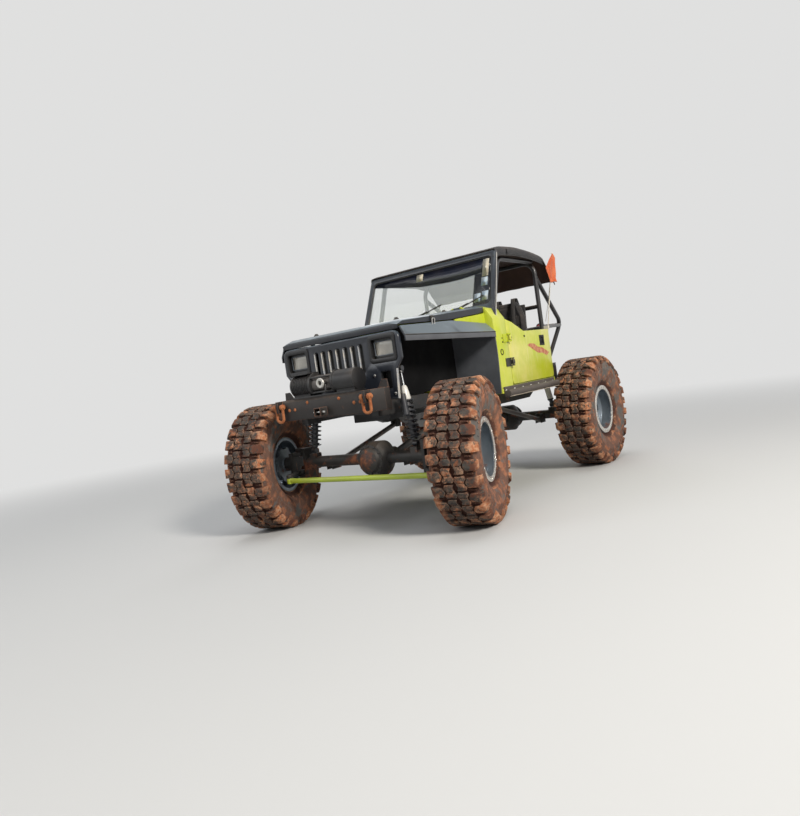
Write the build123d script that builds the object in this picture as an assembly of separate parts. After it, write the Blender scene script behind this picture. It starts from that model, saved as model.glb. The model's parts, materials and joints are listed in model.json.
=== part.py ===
from build123d import *
from math import cos, hypot, radians, sin
import os

# A lifted short-wheelbase off-road 4x4, parked on a level floor with its front wheels turned left.
# Millimetres. The vehicle faces -Y, its left side is +X and +Z is up. The origin is on the floor, under
# the middle of the whole outline.

# Wheels and tyres
TYRE_RADIUS = 533
TYRE_WIDTH = 381
LUG_DEPTH = 22
LUG_COUNT = 28
RIM_RADIUS = 216
RIM_WIDTH = 236
RIM_OFFSET = 60
DISC_RADIUS = 150

# Running gear
FRONT_AXLE_Y = -1185
WHEELBASE = 2510
FRONT_TRACK = 1900
REAR_TRACK = 1860
KINGPIN_TRACK = FRONT_TRACK - 500
REST_STEER = 16
STEER_ARM = 230
AXLE_TUBE_RADIUS = 46
DIFF_RADIUS = 135
DIFF_X = 150
SNOUT = 212
KINGPIN_RADIUS = 16
SPINDLE_RADIUS = 34
EAR_UP = 98
EAR_THICK = 26

# Frame and power train
TUB_Z = 870
ENGINE_FRONT = 300
ENGINE_REAR = 830
RAIL_SPACING = 720
RAIL_WIDTH = 64
RAIL_HEIGHT = 105
FRONT_MEMBER_BACK = 1330
REAR_MEMBER_BACK = 1660
MEMBER_HALF = 32
MEMBER_DEPTH = 36
SKID_DROP = 70
REAR_KICK = 60
BODY_MOUNT = 20
LINK_RADIUS = 22
LINK_EYE_RADIUS = 30
LINK_EYE_HALF = 24
LINK_AXLE_X = 400
LINK_AXLE_REACH = 100
FRONT_LINK_BACK = 1090
REAR_LINK_BACK = 1740
EAR_PLATE = 8
SHOCK_AXLE_X = 520
SHOCK_TOP_X = 440
SHOCK_TOP_UP = 330
SHOCK_LEAN = 50
SHOCK_EYE = 22
CASE_SHAFT_UP = -52
SHAFT_RADIUS = 28

# Body, measured back from the grille face and up from the bottom of the tub
GRILLE_AHEAD = 130
GRILLE_HALF = 595
GRILLE_TOP = 612
GRILLE_FOOT = 110
GRILLE_THICK = 28
SLOT_COUNT = 7
SLOT_WIDTH = 48
SLOT_PITCH = 76
SLOT_LOW = 330
SLOT_HIGH = 552
LAMP_X = 435
LAMP_UP = 494
LAMP_WIDTH = 200
LAMP_HEIGHT = 142
LAMP_BACK = 50
BEZEL_WIDTH = 250
BEZEL_HEIGHT = 210
COWL_BACK = 1150
COWL_TOP = 765
SHOULDER_UP = 640
TUB_HALF = 762
REAR_QUARTER_HALF = 725
TUB_LENGTH = 1250
WALL = 42
FLOOR_THICK = 20
SKIN = 14
HOOD_FRONT_HALF = 602
HOOD_REAR_HALF = 690
HOOD_FRONT_TOP = 688
HOOD_SIDE_FRONT = 40
HOOD_SIDE_REAR = 61
HOOD_KNEE = 660
HOOD_HINGE_X = 430
HOOD_HINGE_UP = 14
FENDER_FRONT_HALF = 640
FENDER_REAR_HALF = 775
FENDER_LIP = 46
APRON_IN = 334
APRON_TOP = 600
APRON_FRONT = 110
DOOR_BACK = 1370
DOOR_LENGTH = 870
DOOR_LOW = 62
DOOR_HIGH = 523
DOOR_FRONT_HIGH = 632
HINGE_OUT = 23
SCREEN_LOW = 650
SCREEN_HIGH = 1262
SCREEN_BACK = 1232
SCREEN_RAKE = 258
SCREEN_HALF = 742
SCREEN_TOP_HALF = 706
SCREEN_BAR = 46
SCREEN_THICK = 34
GLASS_THICK = 6

# Tubes, seats and top
CAGE_RADIUS = 22
CROSS_RADIUS = 20
CAGE_HALF = 640
HOOP_HALF = 655
HOOP_BACK = 2345
CAGE_TOP = 1200
TAIL_BACK = 3040
TAIL_UP = 605
TAIL_HALF = 560
ROOF_HALF = 705
ROOF_PEAK = 1312
ROOF_THICK = 14
SEAT_X = TUB_HALF - 402
SEAT_WIDTH = 480
WHEEL_RIM_RADIUS = 185

# Bumper and winch
BUMPER_HALF = 525
BUMPER_LOW = 47
BUMPER_HIGH = 208
BUMPER_AHEAD = 250
BUMPER_DEPTH = 150
RECEIVER_BORE = 51
RECEIVER_WALL = 7
RECEIVER_AHEAD = 80
RECEIVER_PIN_AHEAD = 55
PIN_BORE = 8.2
WINCH_HALF = 315
WINCH_RADIUS = 84
SHACKLE_X = 440
SHACKLE_BAR = 11
SLIDER_RADIUS = 30

# Clearances
RUN_GAP = 6
SEAT_GAP = 0.3
PIN_GAP = 0.5

# Values worked out from the sizes above
LUG_PITCH = 360 / LUG_COUNT
LUG_HALF_ANGLE = LUG_PITCH * 0.35
WHEEL_Z = TYRE_RADIUS * cos(radians(LUG_HALF_ANGLE - LUG_PITCH / 4))
REAR_AXLE_Y = FRONT_AXLE_Y + WHEELBASE
GRILLE_Y = FRONT_AXLE_Y - GRILLE_AHEAD
KINGPIN_X = KINGPIN_TRACK / 2
WHEEL_REACH = FRONT_TRACK / 2 - KINGPIN_X
RAIL_X = RAIL_SPACING / 2
RAIL_IN = RAIL_X - RAIL_WIDTH / 2
RAIL_OUT = RAIL_X + RAIL_WIDTH / 2
DOOR_IN = TUB_HALF - WALL
BELLY_TOP = TUB_Z - BODY_MOUNT
FRAME_LOW = BELLY_TOP - RAIL_HEIGHT
SKID_FLOOR = FRAME_LOW - MEMBER_DEPTH - SKID_DROP


def back(distance):
    """Y of a point that far behind the grille face."""
    return GRILLE_Y + distance


def up(distance):
    """Z of a point that far above the bottom of the tub."""
    return TUB_Z + distance


def block(x, y, z):
    """Box between three (low, high) pairs."""
    spans = [sorted(pair) for pair in (x, y, z)]
    size = [high - low for low, high in spans]
    centre = [(high + low) / 2 for low, high in spans]
    return Pos(*centre) * Box(*size)


def rod(start, end, radius):
    """Round bar from one point to another."""
    axis = Vector(end) - Vector(start)
    return extrude(Plane(origin=start, z_dir=axis) * Circle(radius), axis.length)


def tube_run(points, radius, bend):
    """Bent round tube through a list of points."""
    path = FilletPolyline(*points, radius=bend)
    return sweep(Plane(origin=path @ 0, z_dir=path % 0) * Circle(radius), path)


def sheet_yz(points, x_low, x_high):
    """Side outline of (y, z) points carried across from x_low to x_high."""
    face = make_face(Polyline(*[(0, y, z) for y, z in points], close=True))
    return Pos(x_low, 0, 0) * extrude(face, x_high - x_low, dir=(1, 0, 0))


def sheet_xz(points, y_low, y_high):
    """Front outline of (x, z) points carried back from y_low to y_high."""
    face = make_face(Polyline(*[(x, 0, z) for x, z in points], close=True))
    return Pos(0, y_low, 0) * extrude(face, y_high - y_low, dir=(0, 1, 0))


def sheet_xy(points, z_low, z_high):
    """Plan outline of (x, y) points carried up from z_low to z_high."""
    face = make_face(Polyline(*[(x, y, 0) for x, y in points], close=True))
    return Pos(0, 0, z_low) * extrude(face, z_high - z_low, dir=(0, 0, 1))


def both_halves(points):
    """Closed outline from its right half, listed from the bottom up."""
    return points + [(-x, z) for x, z in reversed(points)]


def pair(solid):
    """A left-hand solid and its right-hand twin."""
    return [solid, mirror(solid, about=Plane.YZ)]


def ring_faces(stations):
    """Regular polygon outlines in planes across X. Each station is (x, radius)."""
    faces = []
    for x, radius in stations:
        corners = []
        for index in range(LUG_COUNT):
            angle = radians(index * LUG_PITCH)
            corners.append((x, radius * cos(angle), radius * sin(angle)))
        faces.append(make_face(Polyline(*corners, close=True)))
    return faces


def tyre():
    """Hollow tyre about the X axis with two staggered rows of lugs."""
    flat = cos(radians(LUG_PITCH / 2))
    bead = (RIM_RADIUS + SEAT_GAP) / flat
    half = TYRE_WIDTH / 2
    rim_half = RIM_WIDTH / 2 - 4
    base = TYRE_RADIUS - LUG_DEPTH
    wall = 16
    # x and radius from the bead to the crown, outside and inside
    outer = [(rim_half, bead), (rim_half + 0.6, RIM_RADIUS + 30), (half - 26, bead + 90),
             (half - 12, bead + 190), (half - 22, base - 26), (half - 76, base)]
    inner = [(rim_half, bead), (rim_half - wall, bead + 24), (half - 28, bead + 110), (half - 30, base - 46),
             (half - 80, base - wall)]
    outer_line = [(-x, r) for x, r in outer] + [(x, r) for x, r in reversed(outer)]
    inner_line = [(-x, r) for x, r in inner] + [(x, r) for x, r in reversed(inner)]
    carcass = loft(ring_faces(outer_line), ruled=True) - loft(ring_faces(inner_line), ruled=True)
    lugs = []
    for side in (-1, 1):
        for index in range(LUG_COUNT):
            middle = index * LUG_PITCH + side * LUG_PITCH / 4 - 90
            lugs.append(Rot(middle, 0, 0) * lug(side, base))
    return carcass.fuse(*lugs)


def lug(side, base):
    """One tread block that wraps the shoulder, pointing along +Y before it is turned into place."""
    half = TYRE_WIDTH / 2
    low = base * cos(radians(LUG_PITCH / 2)) - 8
    # x from the middle and radius of the block's outline
    outline = [(8, low), (8, TYRE_RADIUS), (half - 34, TYRE_RADIUS), (half, base - 28),
               (half - 30, base - 70)]
    tip = TYRE_RADIUS * sin(radians(LUG_HALF_ANGLE))
    points = [(side * x, r, 0) for x, r in outline]
    return extrude(make_face(Polyline(*points, close=True)), tip, both=True)


def rim():
    """Deep dished wheel with its lock ring, brake disc and hub, about the X axis, outside at +X."""
    half = RIM_WIDTH / 2
    barrel = RIM_RADIUS - 11
    lip = RIM_RADIUS + 22
    seat = half - RIM_OFFSET - 58
    face = -RIM_OFFSET + 14
    # x and radius of the turned outline, out along the barrel and back down the dished centre
    turned = [(-half, barrel), (-half, lip - 4), (-half + 3, lip - 4), (-half + 3, RIM_RADIUS),
              (half - 3, RIM_RADIUS), (half - 3, lip), (half + 9, lip), (half + 9, RIM_RADIUS - 22),
              (half - 8, barrel), (seat + 30, barrel), (face + 12, 98), (face + 34, 60), (face + 44, 52),
              (face + 44, 0), (face + 26, 0), (face + 26, SPINDLE_RADIUS + PIN_GAP),
              (-RIM_OFFSET - 52, SPINDLE_RADIUS + PIN_GAP), (-RIM_OFFSET - 52, 62), (-RIM_OFFSET - 44, 62),
              (-RIM_OFFSET - 44, DISC_RADIUS), (-RIM_OFFSET - 20, DISC_RADIUS), (-RIM_OFFSET - 20, 90),
              (face - 14, 96), (seat + 8, barrel)]
    section = make_face(Polyline(*[(x, r, 0) for x, r in turned], close=True))
    wheel = revolve(section, Axis.X)
    window = extrude(Plane.YZ * SlotOverall(78, 40), 200, both=True)
    for index in range(8):
        wheel -= Rot(index * 45, 0, 0) * Pos(0, 0, (barrel + 98) / 2) * window
    return wheel


def steered(shape, side):
    """Turn a part drawn about its kingpin to the steering angle at rest and put it in place."""
    place = Pos(side * KINGPIN_X, FRONT_AXLE_Y, WHEEL_Z)
    return place * Rot(0, 0, REST_STEER) * shape


def outboard(shape, side):
    """Part drawn with its outside at +X, turned for the left (1) or right (-1) wheel."""
    return shape if side == 1 else Rot(0, 0, 180) * shape


def wheels():
    """Tyre and rim nodes of the four wheels."""
    tyre_shape = tyre()
    rim_shape = rim()
    nodes = {}
    for name, side in (("left", 1), ("right", -1)):
        reach = Pos(side * WHEEL_REACH, 0, 0)
        rear = Pos(side * REAR_TRACK / 2, REAR_AXLE_Y, WHEEL_Z)
        for kind, shape in (("tyre", tyre_shape), ("rim", rim_shape)):
            nodes[f"{kind}_front_{name}"] = [steered(reach * outboard(shape, side), side)]
            nodes[f"{kind}_rear_{name}"] = [rear * outboard(shape, side)]
    return nodes


def knuckle():
    """Left steering knuckle about its kingpin: bosses, kingpins, spindle, brake caliper and arm."""
    boss_up = EAR_UP - RUN_GAP
    disc_in = WHEEL_REACH - RIM_OFFSET - 44
    spindle_end = WHEEL_REACH - RIM_OFFSET + 14 + 26 - RUN_GAP
    upright = block((44, 74), (-62, 62), (-boss_up, boss_up))
    bosses = [block((0, 74), (-38, 38), (z, z + 30)) for z in (-boss_up, boss_up - 30)]
    rounds = [Pos(0, 0, z + 15) * Cylinder(38, 30) for z in (-boss_up, boss_up - 30)]
    pins = [Pos(0, 0, s * (EAR_UP + 8)) * Cylinder(KINGPIN_RADIUS, 44) for s in (-1, 1)]
    spindle = rod((60, 0, 0), (spindle_end, 0, 0), SPINDLE_RADIUS)
    carrier = rod((70, 0, 0), (disc_in - 14, 0, 0), 58)
    arm = sheet_xy([(74, -50), (44, 50), (10, 30), (-24, -STEER_ARM), (24, -STEER_ARM), (52, -60)], -88, -66)
    arm_eye = Pos(0, -STEER_ARM, -77) * Cylinder(26, 22)
    caliper_reach = DISC_RADIUS - 44
    caliper = block((disc_in - 30, disc_in + 42), (caliper_reach, DISC_RADIUS + 26), (-58, 58))
    caliper -= block((disc_in - RUN_GAP, disc_in + 24 + RUN_GAP), (0, DISC_RADIUS + RUN_GAP), (-90, 90))
    bracket = block((44, disc_in - 14), (40, caliper_reach + 20), (-40, 40))
    bridge = block((disc_in - 30, disc_in - 14), (40, caliper_reach + 20), (-40, 40))
    return upright.fuse(*bosses, *rounds, *pins, spindle, carrier, arm, arm_eye, caliper, bracket, bridge)


def tie_rod():
    """Track rod between the two steering arms, with an end over each arm's eye."""
    drop = WHEEL_Z - 77 - 11 - RUN_GAP
    left = Vector(KINGPIN_X, FRONT_AXLE_Y, 0) + Vector(0, -STEER_ARM, 0).rotate(Axis.Z, REST_STEER)
    right = left - Vector(KINGPIN_TRACK, 0, 0)
    bar = rod((right.X, right.Y, drop - 22), (left.X, left.Y, drop - 22), 21)
    ends = [Pos(p.X, p.Y, drop - 22) * Cylinder(27, 44) for p in (left, right)]
    studs = [Pos(p.X, p.Y, drop + RUN_GAP / 2) * Cylinder(9, RUN_GAP) for p in (left, right)]
    return [bar.fuse(*ends, *studs)]


def front_axle():
    """Front axle housing with its round differential and the two forked ends."""
    housing = rod((-KINGPIN_X + 95, 0, 0), (KINGPIN_X - 95, 0, 0), AXLE_TUBE_RADIUS)
    bulb = Pos(DIFF_X, 0, 0) * revolve(
        make_face(Polyline((-110, 0, 0), (-110, 60, 0), (-60, DIFF_RADIUS, 0), (60, DIFF_RADIUS, 0),
                           (110, 60, 0), (110, 0, 0), close=True)), Axis.X)
    snout = rod((DIFF_X, 0, 0), (DIFF_X, SNOUT, 0), 58)
    forks = []
    for side in (-1, 1):
        inner = side * (KINGPIN_X - 105)
        forks.append(block((inner, side * (KINGPIN_X - 78)), (-52, 52),
                           (-EAR_UP - EAR_THICK, EAR_UP + EAR_THICK)))
        for low in (-EAR_UP - EAR_THICK, EAR_UP):
            forks.append(block((inner, side * KINGPIN_X), (-36, 36), (low, low + EAR_THICK)))
            forks.append(Pos(side * KINGPIN_X, 0, low + EAR_THICK / 2) * Cylinder(36, EAR_THICK))
    body = housing.fuse(bulb, snout, *shock_perches(), *axle_ears(1), *forks)
    for side in (-1, 1):
        bore = Cylinder(KINGPIN_RADIUS + PIN_GAP, 4 * EAR_UP)
        body -= Pos(side * KINGPIN_X, 0, 0) * bore
    return [Pos(0, FRONT_AXLE_Y, WHEEL_Z) * body]


def rear_axle():
    """Rear axle housing with its differential, spindles and brake calipers."""
    hub = REAR_TRACK / 2 - RIM_OFFSET
    housing = rod((-hub + 62, 0, 0), (hub - 62, 0, 0), AXLE_TUBE_RADIUS)
    bulb = revolve(
        make_face(Polyline((-120, 0, 0), (-120, 62, 0), (-62, DIFF_RADIUS, 0), (62, DIFF_RADIUS, 0),
                           (120, 62, 0), (120, 0, 0), close=True)), Axis.X)
    snout = rod((0, 0, 0), (0, -SNOUT, 0), 60)
    ends = []
    for side in (-1, 1):
        spindle_end = side * (hub + 14 + 26 - RUN_GAP)
        ends.append(rod((side * (hub - 70), 0, 0), (spindle_end, 0, 0), SPINDLE_RADIUS))
        disc_in = hub - 44
        clamp = block((side * (disc_in - 30), side * (disc_in + 42)), (-58, 58),
                      (DISC_RADIUS - 44, DISC_RADIUS + 26))
        clamp -= block((side * (disc_in - RUN_GAP), side * (disc_in + 24 + RUN_GAP)), (-90, 90),
                       (0, DISC_RADIUS + RUN_GAP))
        ends.append(clamp)
        ends.append(block((side * (disc_in - 34), side * (disc_in - 14)), (-44, 44), (-30, DISC_RADIUS - 20)))
    body = housing.fuse(bulb, snout, *shock_perches(), *axle_ears(-1), *ends)
    return [Pos(0, REAR_AXLE_Y, WHEEL_Z) * body]


def rail_outline():
    """Side outline of a frame rail: up over the front axle, low under the cab, up over the rear axle."""
    front = BUMPER_DEPTH - BUMPER_AHEAD
    # distance back from the grille and height of the rail's top above the tub bottom
    tops = [(front, RAIL_HEIGHT), (560, RAIL_HEIGHT), (930, -BODY_MOUNT), (2410, -BODY_MOUNT),
            (2570, REAR_KICK), (2990, REAR_KICK)]
    upper = [(back(y), up(z)) for y, z in tops]
    lower = [(back(y), up(z - RAIL_HEIGHT)) for y, z in reversed(tops)]
    return upper + lower


def frame_rails():
    """The two boxed side rails, each with two pairs of ears under it for the suspension links."""
    rail = sheet_yz(rail_outline(), RAIL_IN, RAIL_OUT)
    ears = []
    for distance in (FRONT_LINK_BACK, REAR_LINK_BACK):
        for edge in (RAIL_X - LINK_EYE_HALF - SEAT_GAP - EAR_PLATE, RAIL_X + LINK_EYE_HALF + SEAT_GAP):
            ears.append(block((edge, edge + EAR_PLATE), (back(distance - 34), back(distance + 34)),
                              (FRAME_LOW - 2 * LINK_EYE_RADIUS, FRAME_LOW + 4)))
    return pair(rail.fuse(*ears))


# distance back, half depth and height of the underside above the tub bottom
CROSSMEMBERS = [(30, 30, 20), (2600, 26, REAR_KICK - 62), (2880, 26, REAR_KICK - 62)]


def crossmembers():
    """Boxed members between the rails, with the engine cradle and gearbox member under them."""
    members = []
    for y, half, low in CROSSMEMBERS:
        members.append(block((-RAIL_IN, RAIL_IN), (back(y - half), back(y + half)), (up(low), up(low + 62))))
    for y in (FRONT_MEMBER_BACK, REAR_MEMBER_BACK):
        span = (back(y - MEMBER_HALF), back(y + MEMBER_HALF))
        beam = block((-RAIL_IN, RAIL_IN), span, (FRAME_LOW - MEMBER_DEPTH, FRAME_LOW))
        ends = pair(block((RAIL_IN - 30, RAIL_IN), span, (FRAME_LOW - 1, FRAME_LOW + 24)))
        members.append(beam.fuse(*ends))
    return members


def belly_skid():
    """Folded plate under the gearbox, bolted up to the two low members."""
    top = FRAME_LOW - MEMBER_DEPTH
    front, rear = FRONT_MEMBER_BACK, REAR_MEMBER_BACK
    line = [(front - MEMBER_HALF, 0), (front + MEMBER_HALF, 0), (front + 80, -SKID_DROP),
            (rear - 80, -SKID_DROP), (rear - MEMBER_HALF, 0), (rear + MEMBER_HALF, 0)]
    upper = [(back(y), top + z) for y, z in line]
    lower = [(back(y), top + z - 8) for y, z in reversed(line)]
    return [sheet_yz(upper + lower, -RAIL_IN + RUN_GAP, RAIL_IN - RUN_GAP)]


def engine_block():
    """The engine as one plain block on two feet against the rails."""
    core = block((-190, 190), (back(ENGINE_FRONT), back(ENGINE_REAR)), (up(-60), up(470)))
    middle = (ENGINE_FRONT + ENGINE_REAR) / 2 - 49
    feet = []
    for side in (-1, 1):
        reach = (side * 180, side * (RAIL_IN - SEAT_GAP))
        feet.append(block(reach, (back(middle - 36), back(middle + 36)), (up(14), up(62))))
    return [core.fuse(*feet)]


def case_ends():
    """Distances back from the grille of the transfer case's two ends, just inside the skid's flat floor."""
    return FRONT_MEMBER_BACK + 90, REAR_MEMBER_BACK - 90


def gearbox():
    """Bell housing, gearbox and transfer case, resting on the belly plate."""
    bell = Solid.make_cone(150, 92, 134, Plane(origin=(0, back(ENGINE_REAR), up(-10)), z_dir=(0, 1, 0)))
    front, rear = case_ends()
    box_span = (back(ENGINE_REAR + 120), back(front + 60))
    box = block((-95, 95), box_span, (FRAME_LOW + RUN_GAP, up(-BODY_MOUNT)))
    case = block((-80, 245), (back(front), back(rear)), (SKID_FLOOR, up(-BODY_MOUNT - 14)))
    return [bell.fuse(box, case)]


def radiator():
    """Radiator core in its shroud, against the back of the grille."""
    low, high = GRILLE_FOOT + 40, GRILLE_TOP - 14
    front = back(GRILLE_THICK)
    shroud = block((-330, 330), (front, front + 96), (up(low), up(high)))
    shroud -= block((-300, 300), (front, front + 44), (up(low + 30), up(high - 30)))
    return [shroud]


def grille():
    """Slotted front panel with lamp openings, indicator openings and stepped lower corners."""
    right = [(520, GRILLE_FOOT), (536, 330), (GRILLE_HALF, 404), (GRILLE_HALF, GRILLE_TOP)]
    outline = both_halves([(x, up(z)) for x, z in right])
    panel = sheet_xz(outline, GRILLE_Y, back(GRILLE_THICK))
    corners = panel.edges().filter_by(Axis.Y).group_by(Axis.Z)[-1]
    panel = fillet(corners, 62)
    panel = fillet(panel.faces().sort_by(Axis.Y)[0].edges(), 14)
    across = Plane(origin=(0, GRILLE_Y, up((SLOT_LOW + SLOT_HIGH) / 2)), x_dir=(1, 0, 0), z_dir=(0, 1, 0))
    height = SLOT_HIGH - SLOT_LOW
    slot = extrude(across * RectangleRounded(SLOT_WIDTH, height, SLOT_WIDTH * 0.4), GRILLE_THICK)
    for index in range(SLOT_COUNT):
        panel -= Pos((index - (SLOT_COUNT - 1) / 2) * SLOT_PITCH, 0, 0) * slot
    lamp_plane = Plane(origin=(LAMP_X, GRILLE_Y, up(LAMP_UP)), x_dir=(1, 0, 0), z_dir=(0, 1, 0))
    opening = extrude(lamp_plane * RectangleRounded(BEZEL_WIDTH, BEZEL_HEIGHT, 26), GRILLE_THICK)
    marker_plane = Plane(origin=(LAMP_X, GRILLE_Y, up(256)), x_dir=(1, 0, 0), z_dir=(0, 1, 0))
    marker = extrude(marker_plane * RectangleRounded(96, 136, 16), GRILLE_THICK)
    for cut in pair(opening) + pair(marker):
        panel -= cut
    return [panel]


def lamp_bezels():
    """Deep black frames in the grille's lamp openings, each with a sleeve back to its lamp."""
    front = Plane(origin=(LAMP_X, back(-8), up(LAMP_UP)), x_dir=(1, 0, 0), z_dir=(0, 1, 0))
    gap = 2 * SEAT_GAP
    frame = extrude(front * RectangleRounded(BEZEL_WIDTH - gap, BEZEL_HEIGHT - gap, 26), GRILLE_THICK + 8)
    frame += extrude(front * RectangleRounded(LAMP_WIDTH + 8, LAMP_HEIGHT + 8, 22), LAMP_BACK + 28)
    frame -= extrude(front * RectangleRounded(LAMP_WIDTH + gap, LAMP_HEIGHT + gap, 18), LAMP_BACK + 28)
    return pair(frame)


def headlamps():
    """Sealed rectangular lamps with a crowned lens, set back in their frames."""
    plane = Plane(origin=(LAMP_X, back(LAMP_BACK), up(LAMP_UP)), x_dir=(1, 0, 0), z_dir=(0, 1, 0))
    body = extrude(plane * RectangleRounded(LAMP_WIDTH, LAMP_HEIGHT, 18), 40)
    rear_plane = Plane(origin=(LAMP_X, back(LAMP_BACK + 40), up(LAMP_UP)), x_dir=(1, 0, 0), z_dir=(0, 1, 0))
    rear = extrude(rear_plane * RectangleRounded(120, 90, 14), 34)
    crown = Pos(LAMP_X, back(LAMP_BACK) + 560, up(LAMP_UP)) * Cylinder(575, LAMP_HEIGHT)
    lens = crown & extrude(plane * RectangleRounded(LAMP_WIDTH, LAMP_HEIGHT, 18), -20)
    return pair(body.fuse(rear, lens))


def hood_section(distance, half, top, side):
    """Outline of the hood across the vehicle: side edge, bevelled shoulder and flat top."""
    return both_halves([(half, top - side), (half, top - 16), (half - 70, top)]), back(distance)


def hood_line(distance):
    """Half width and top of the hood at a distance back from the grille."""
    share = (distance - 70) / (COWL_BACK - RUN_GAP - 70)
    half = HOOD_FRONT_HALF + share * (HOOD_REAR_HALF - HOOD_FRONT_HALF)
    return half, HOOD_FRONT_TOP + share * (COWL_TOP - HOOD_FRONT_TOP)


def hood_loft(inset):
    """Solid between the hood's four sections, or its hollow when inset is the skin thickness."""
    rear = COWL_BACK - RUN_GAP
    knee_half, knee_top = hood_line(HOOD_KNEE)
    # distance back, half width, top and side depth
    stations = [(8, HOOD_FRONT_HALF - 12, HOOD_FRONT_TOP - 24, HOOD_SIDE_FRONT - 20),
                (70, HOOD_FRONT_HALF, HOOD_FRONT_TOP, HOOD_SIDE_FRONT),
                (HOOD_KNEE, knee_half, knee_top, HOOD_SIDE_FRONT + 30),
                (rear, HOOD_REAR_HALF, COWL_TOP, HOOD_SIDE_REAR)]
    faces = []
    for index, (distance, half, top, side) in enumerate(stations):
        shift = inset if index == 0 else 0
        shape, y = hood_section(distance + shift, half - inset, top - inset, side)
        faces.append(make_face(Polyline(*[(x, y, up(z)) for x, z in shape], close=True)))
    return loft(faces, ruled=True)


def hood():
    """Hood panel, open below and behind, with its nose turned down over the grille."""
    shell = hood_loft(0) - hood_loft(SKIN)
    low = GRILLE_TOP + RUN_GAP
    half = HOOD_FRONT_HALF - 14
    nose = block((-half, half), (back(8), back(8 + SKIN)), (up(low), up(HOOD_FRONT_TOP - 42)))
    rear = COWL_BACK - RUN_GAP
    y, z = back(COWL_BACK), up(COWL_TOP + HOOD_HINGE_UP)
    barrels = []
    for x in (-HOOD_HINGE_X, HOOD_HINGE_X):
        leaf = block((x - 30, x + 30), (back(rear - 70), back(rear)), (up(COWL_TOP - 10), up(COWL_TOP + 6)))
        web = block((x - 30, x + 30), (back(rear - 20), back(rear)), (up(COWL_TOP - 10), z))
        barrels += [leaf, web, rod((x - 30, y, z), (x + 30, y, z), 10)]
    shell = shell.fuse(nose, *barrels)
    for x in (-HOOD_HINGE_X, HOOD_HINGE_X):
        shell -= rod((x - 40, y, z), (x + 40, y, z), 5 + PIN_GAP)
    return [shell]


def fender_stations():
    """Sections of the left fender, front, knee and rear.

    Each has the distance back, half width of the lip, its top, the flange's half width and its height.
    """
    knee_half, knee_top = hood_line(HOOD_KNEE)
    share = (HOOD_KNEE - GRILLE_THICK) / (COWL_BACK - GRILLE_THICK)
    knee_edge = FENDER_FRONT_HALF + share * (FENDER_REAR_HALF - FENDER_FRONT_HALF)
    front_flange = HOOD_FRONT_TOP - HOOD_SIDE_FRONT - 12
    return [(GRILLE_THICK, FENDER_FRONT_HALF, 566, HOOD_FRONT_HALF + 2, front_flange),
            (HOOD_KNEE, knee_edge, 547, knee_half + 2, knee_top - HOOD_SIDE_FRONT - 38),
            (COWL_BACK, FENDER_REAR_HALF, 532, HOOD_REAR_HALF + 2, APRON_TOP + 12)]


def fender():
    """Left front fender: inner apron, flange, sloping top and rolled lip, with its rear leg."""
    t = 12
    faces = []
    for distance, edge, edge_up, flange, flange_up in fender_stations():
        outline = [(APRON_IN, APRON_TOP), (flange, flange_up), (edge, edge_up), (edge, edge_up - FENDER_LIP),
                   (edge - t, edge_up - FENDER_LIP), (edge - t, edge_up - t), (flange - t, flange_up - t),
                   (APRON_IN, APRON_TOP - t)]
        faces.append(make_face(Polyline(*[(x, back(distance), up(z)) for x, z in outline], close=True)))
    top = loft(faces, ruled=True)
    apron = block((APRON_IN, APRON_IN + t), (back(APRON_FRONT), back(COWL_BACK)),
                  (up(GRILLE_FOOT + 6), up(APRON_TOP - 4)))
    outer = FENDER_REAR_HALF - 6
    leg = sheet_xz([(APRON_IN, up(4)), (TUB_HALF - 8, up(4)), (outer, up(300)), (outer, up(500)),
                    (HOOD_REAR_HALF - t, up(APRON_TOP)), (APRON_IN, up(APRON_TOP - 4))],
                   back(COWL_BACK) - t, back(COWL_BACK))
    return top.fuse(apron, leg)


def fenders():
    """Both front fenders."""
    return pair(fender())


def screen_plane(along=0):
    """Plane of the windscreen's outer face, with its origin low in the middle."""
    rise = SCREEN_HIGH - SCREEN_LOW
    slope = Vector(0, SCREEN_RAKE, rise).normalized()
    normal = Vector(1, 0, 0).cross(slope)
    origin = Vector(0, back(SCREEN_BACK), up(SCREEN_LOW)) + normal * along
    return Plane(origin=origin, x_dir=(1, 0, 0), z_dir=normal)


def screen_length():
    """Length of the windscreen frame up its slope."""
    return hypot(SCREEN_RAKE, SCREEN_HIGH - SCREEN_LOW)


def screen_blank(grow, depth):
    """Outline of the windscreen frame as a slab, grown by a clearance."""
    length = screen_length()
    points = [(-SCREEN_HALF - grow, -grow), (SCREEN_HALF + grow, -grow),
              (SCREEN_TOP_HALF + grow, length + grow), (-SCREEN_TOP_HALF - grow, length + grow)]
    face = make_face(screen_plane(grow) * Polyline(*points, close=True))
    return extrude(face, depth + 2 * grow, dir=screen_plane().z_dir * -1)


def screen_opening(shrink):
    """Outline of the glass opening in the frame's plane."""
    length = screen_length()
    low, high = 150 + shrink, length - SCREEN_BAR - shrink
    share = (SCREEN_HALF - SCREEN_TOP_HALF) / length
    bar = SCREEN_BAR + shrink
    return [(-(SCREEN_HALF - share * low - bar), low), (SCREEN_HALF - share * low - bar, low),
            (SCREEN_HALF - share * high - bar, high), (-(SCREEN_HALF - share * high - bar), high)]


def windshield_frame():
    """Raked frame with rounded corners and its glass opening."""
    slab = screen_blank(0, SCREEN_THICK)
    face = make_face(screen_plane() * Polyline(*screen_opening(0), close=True))
    window = extrude(fillet(face.vertices(), 40), SCREEN_THICK, dir=screen_plane().z_dir * -1)
    return [slab - window]


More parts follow.
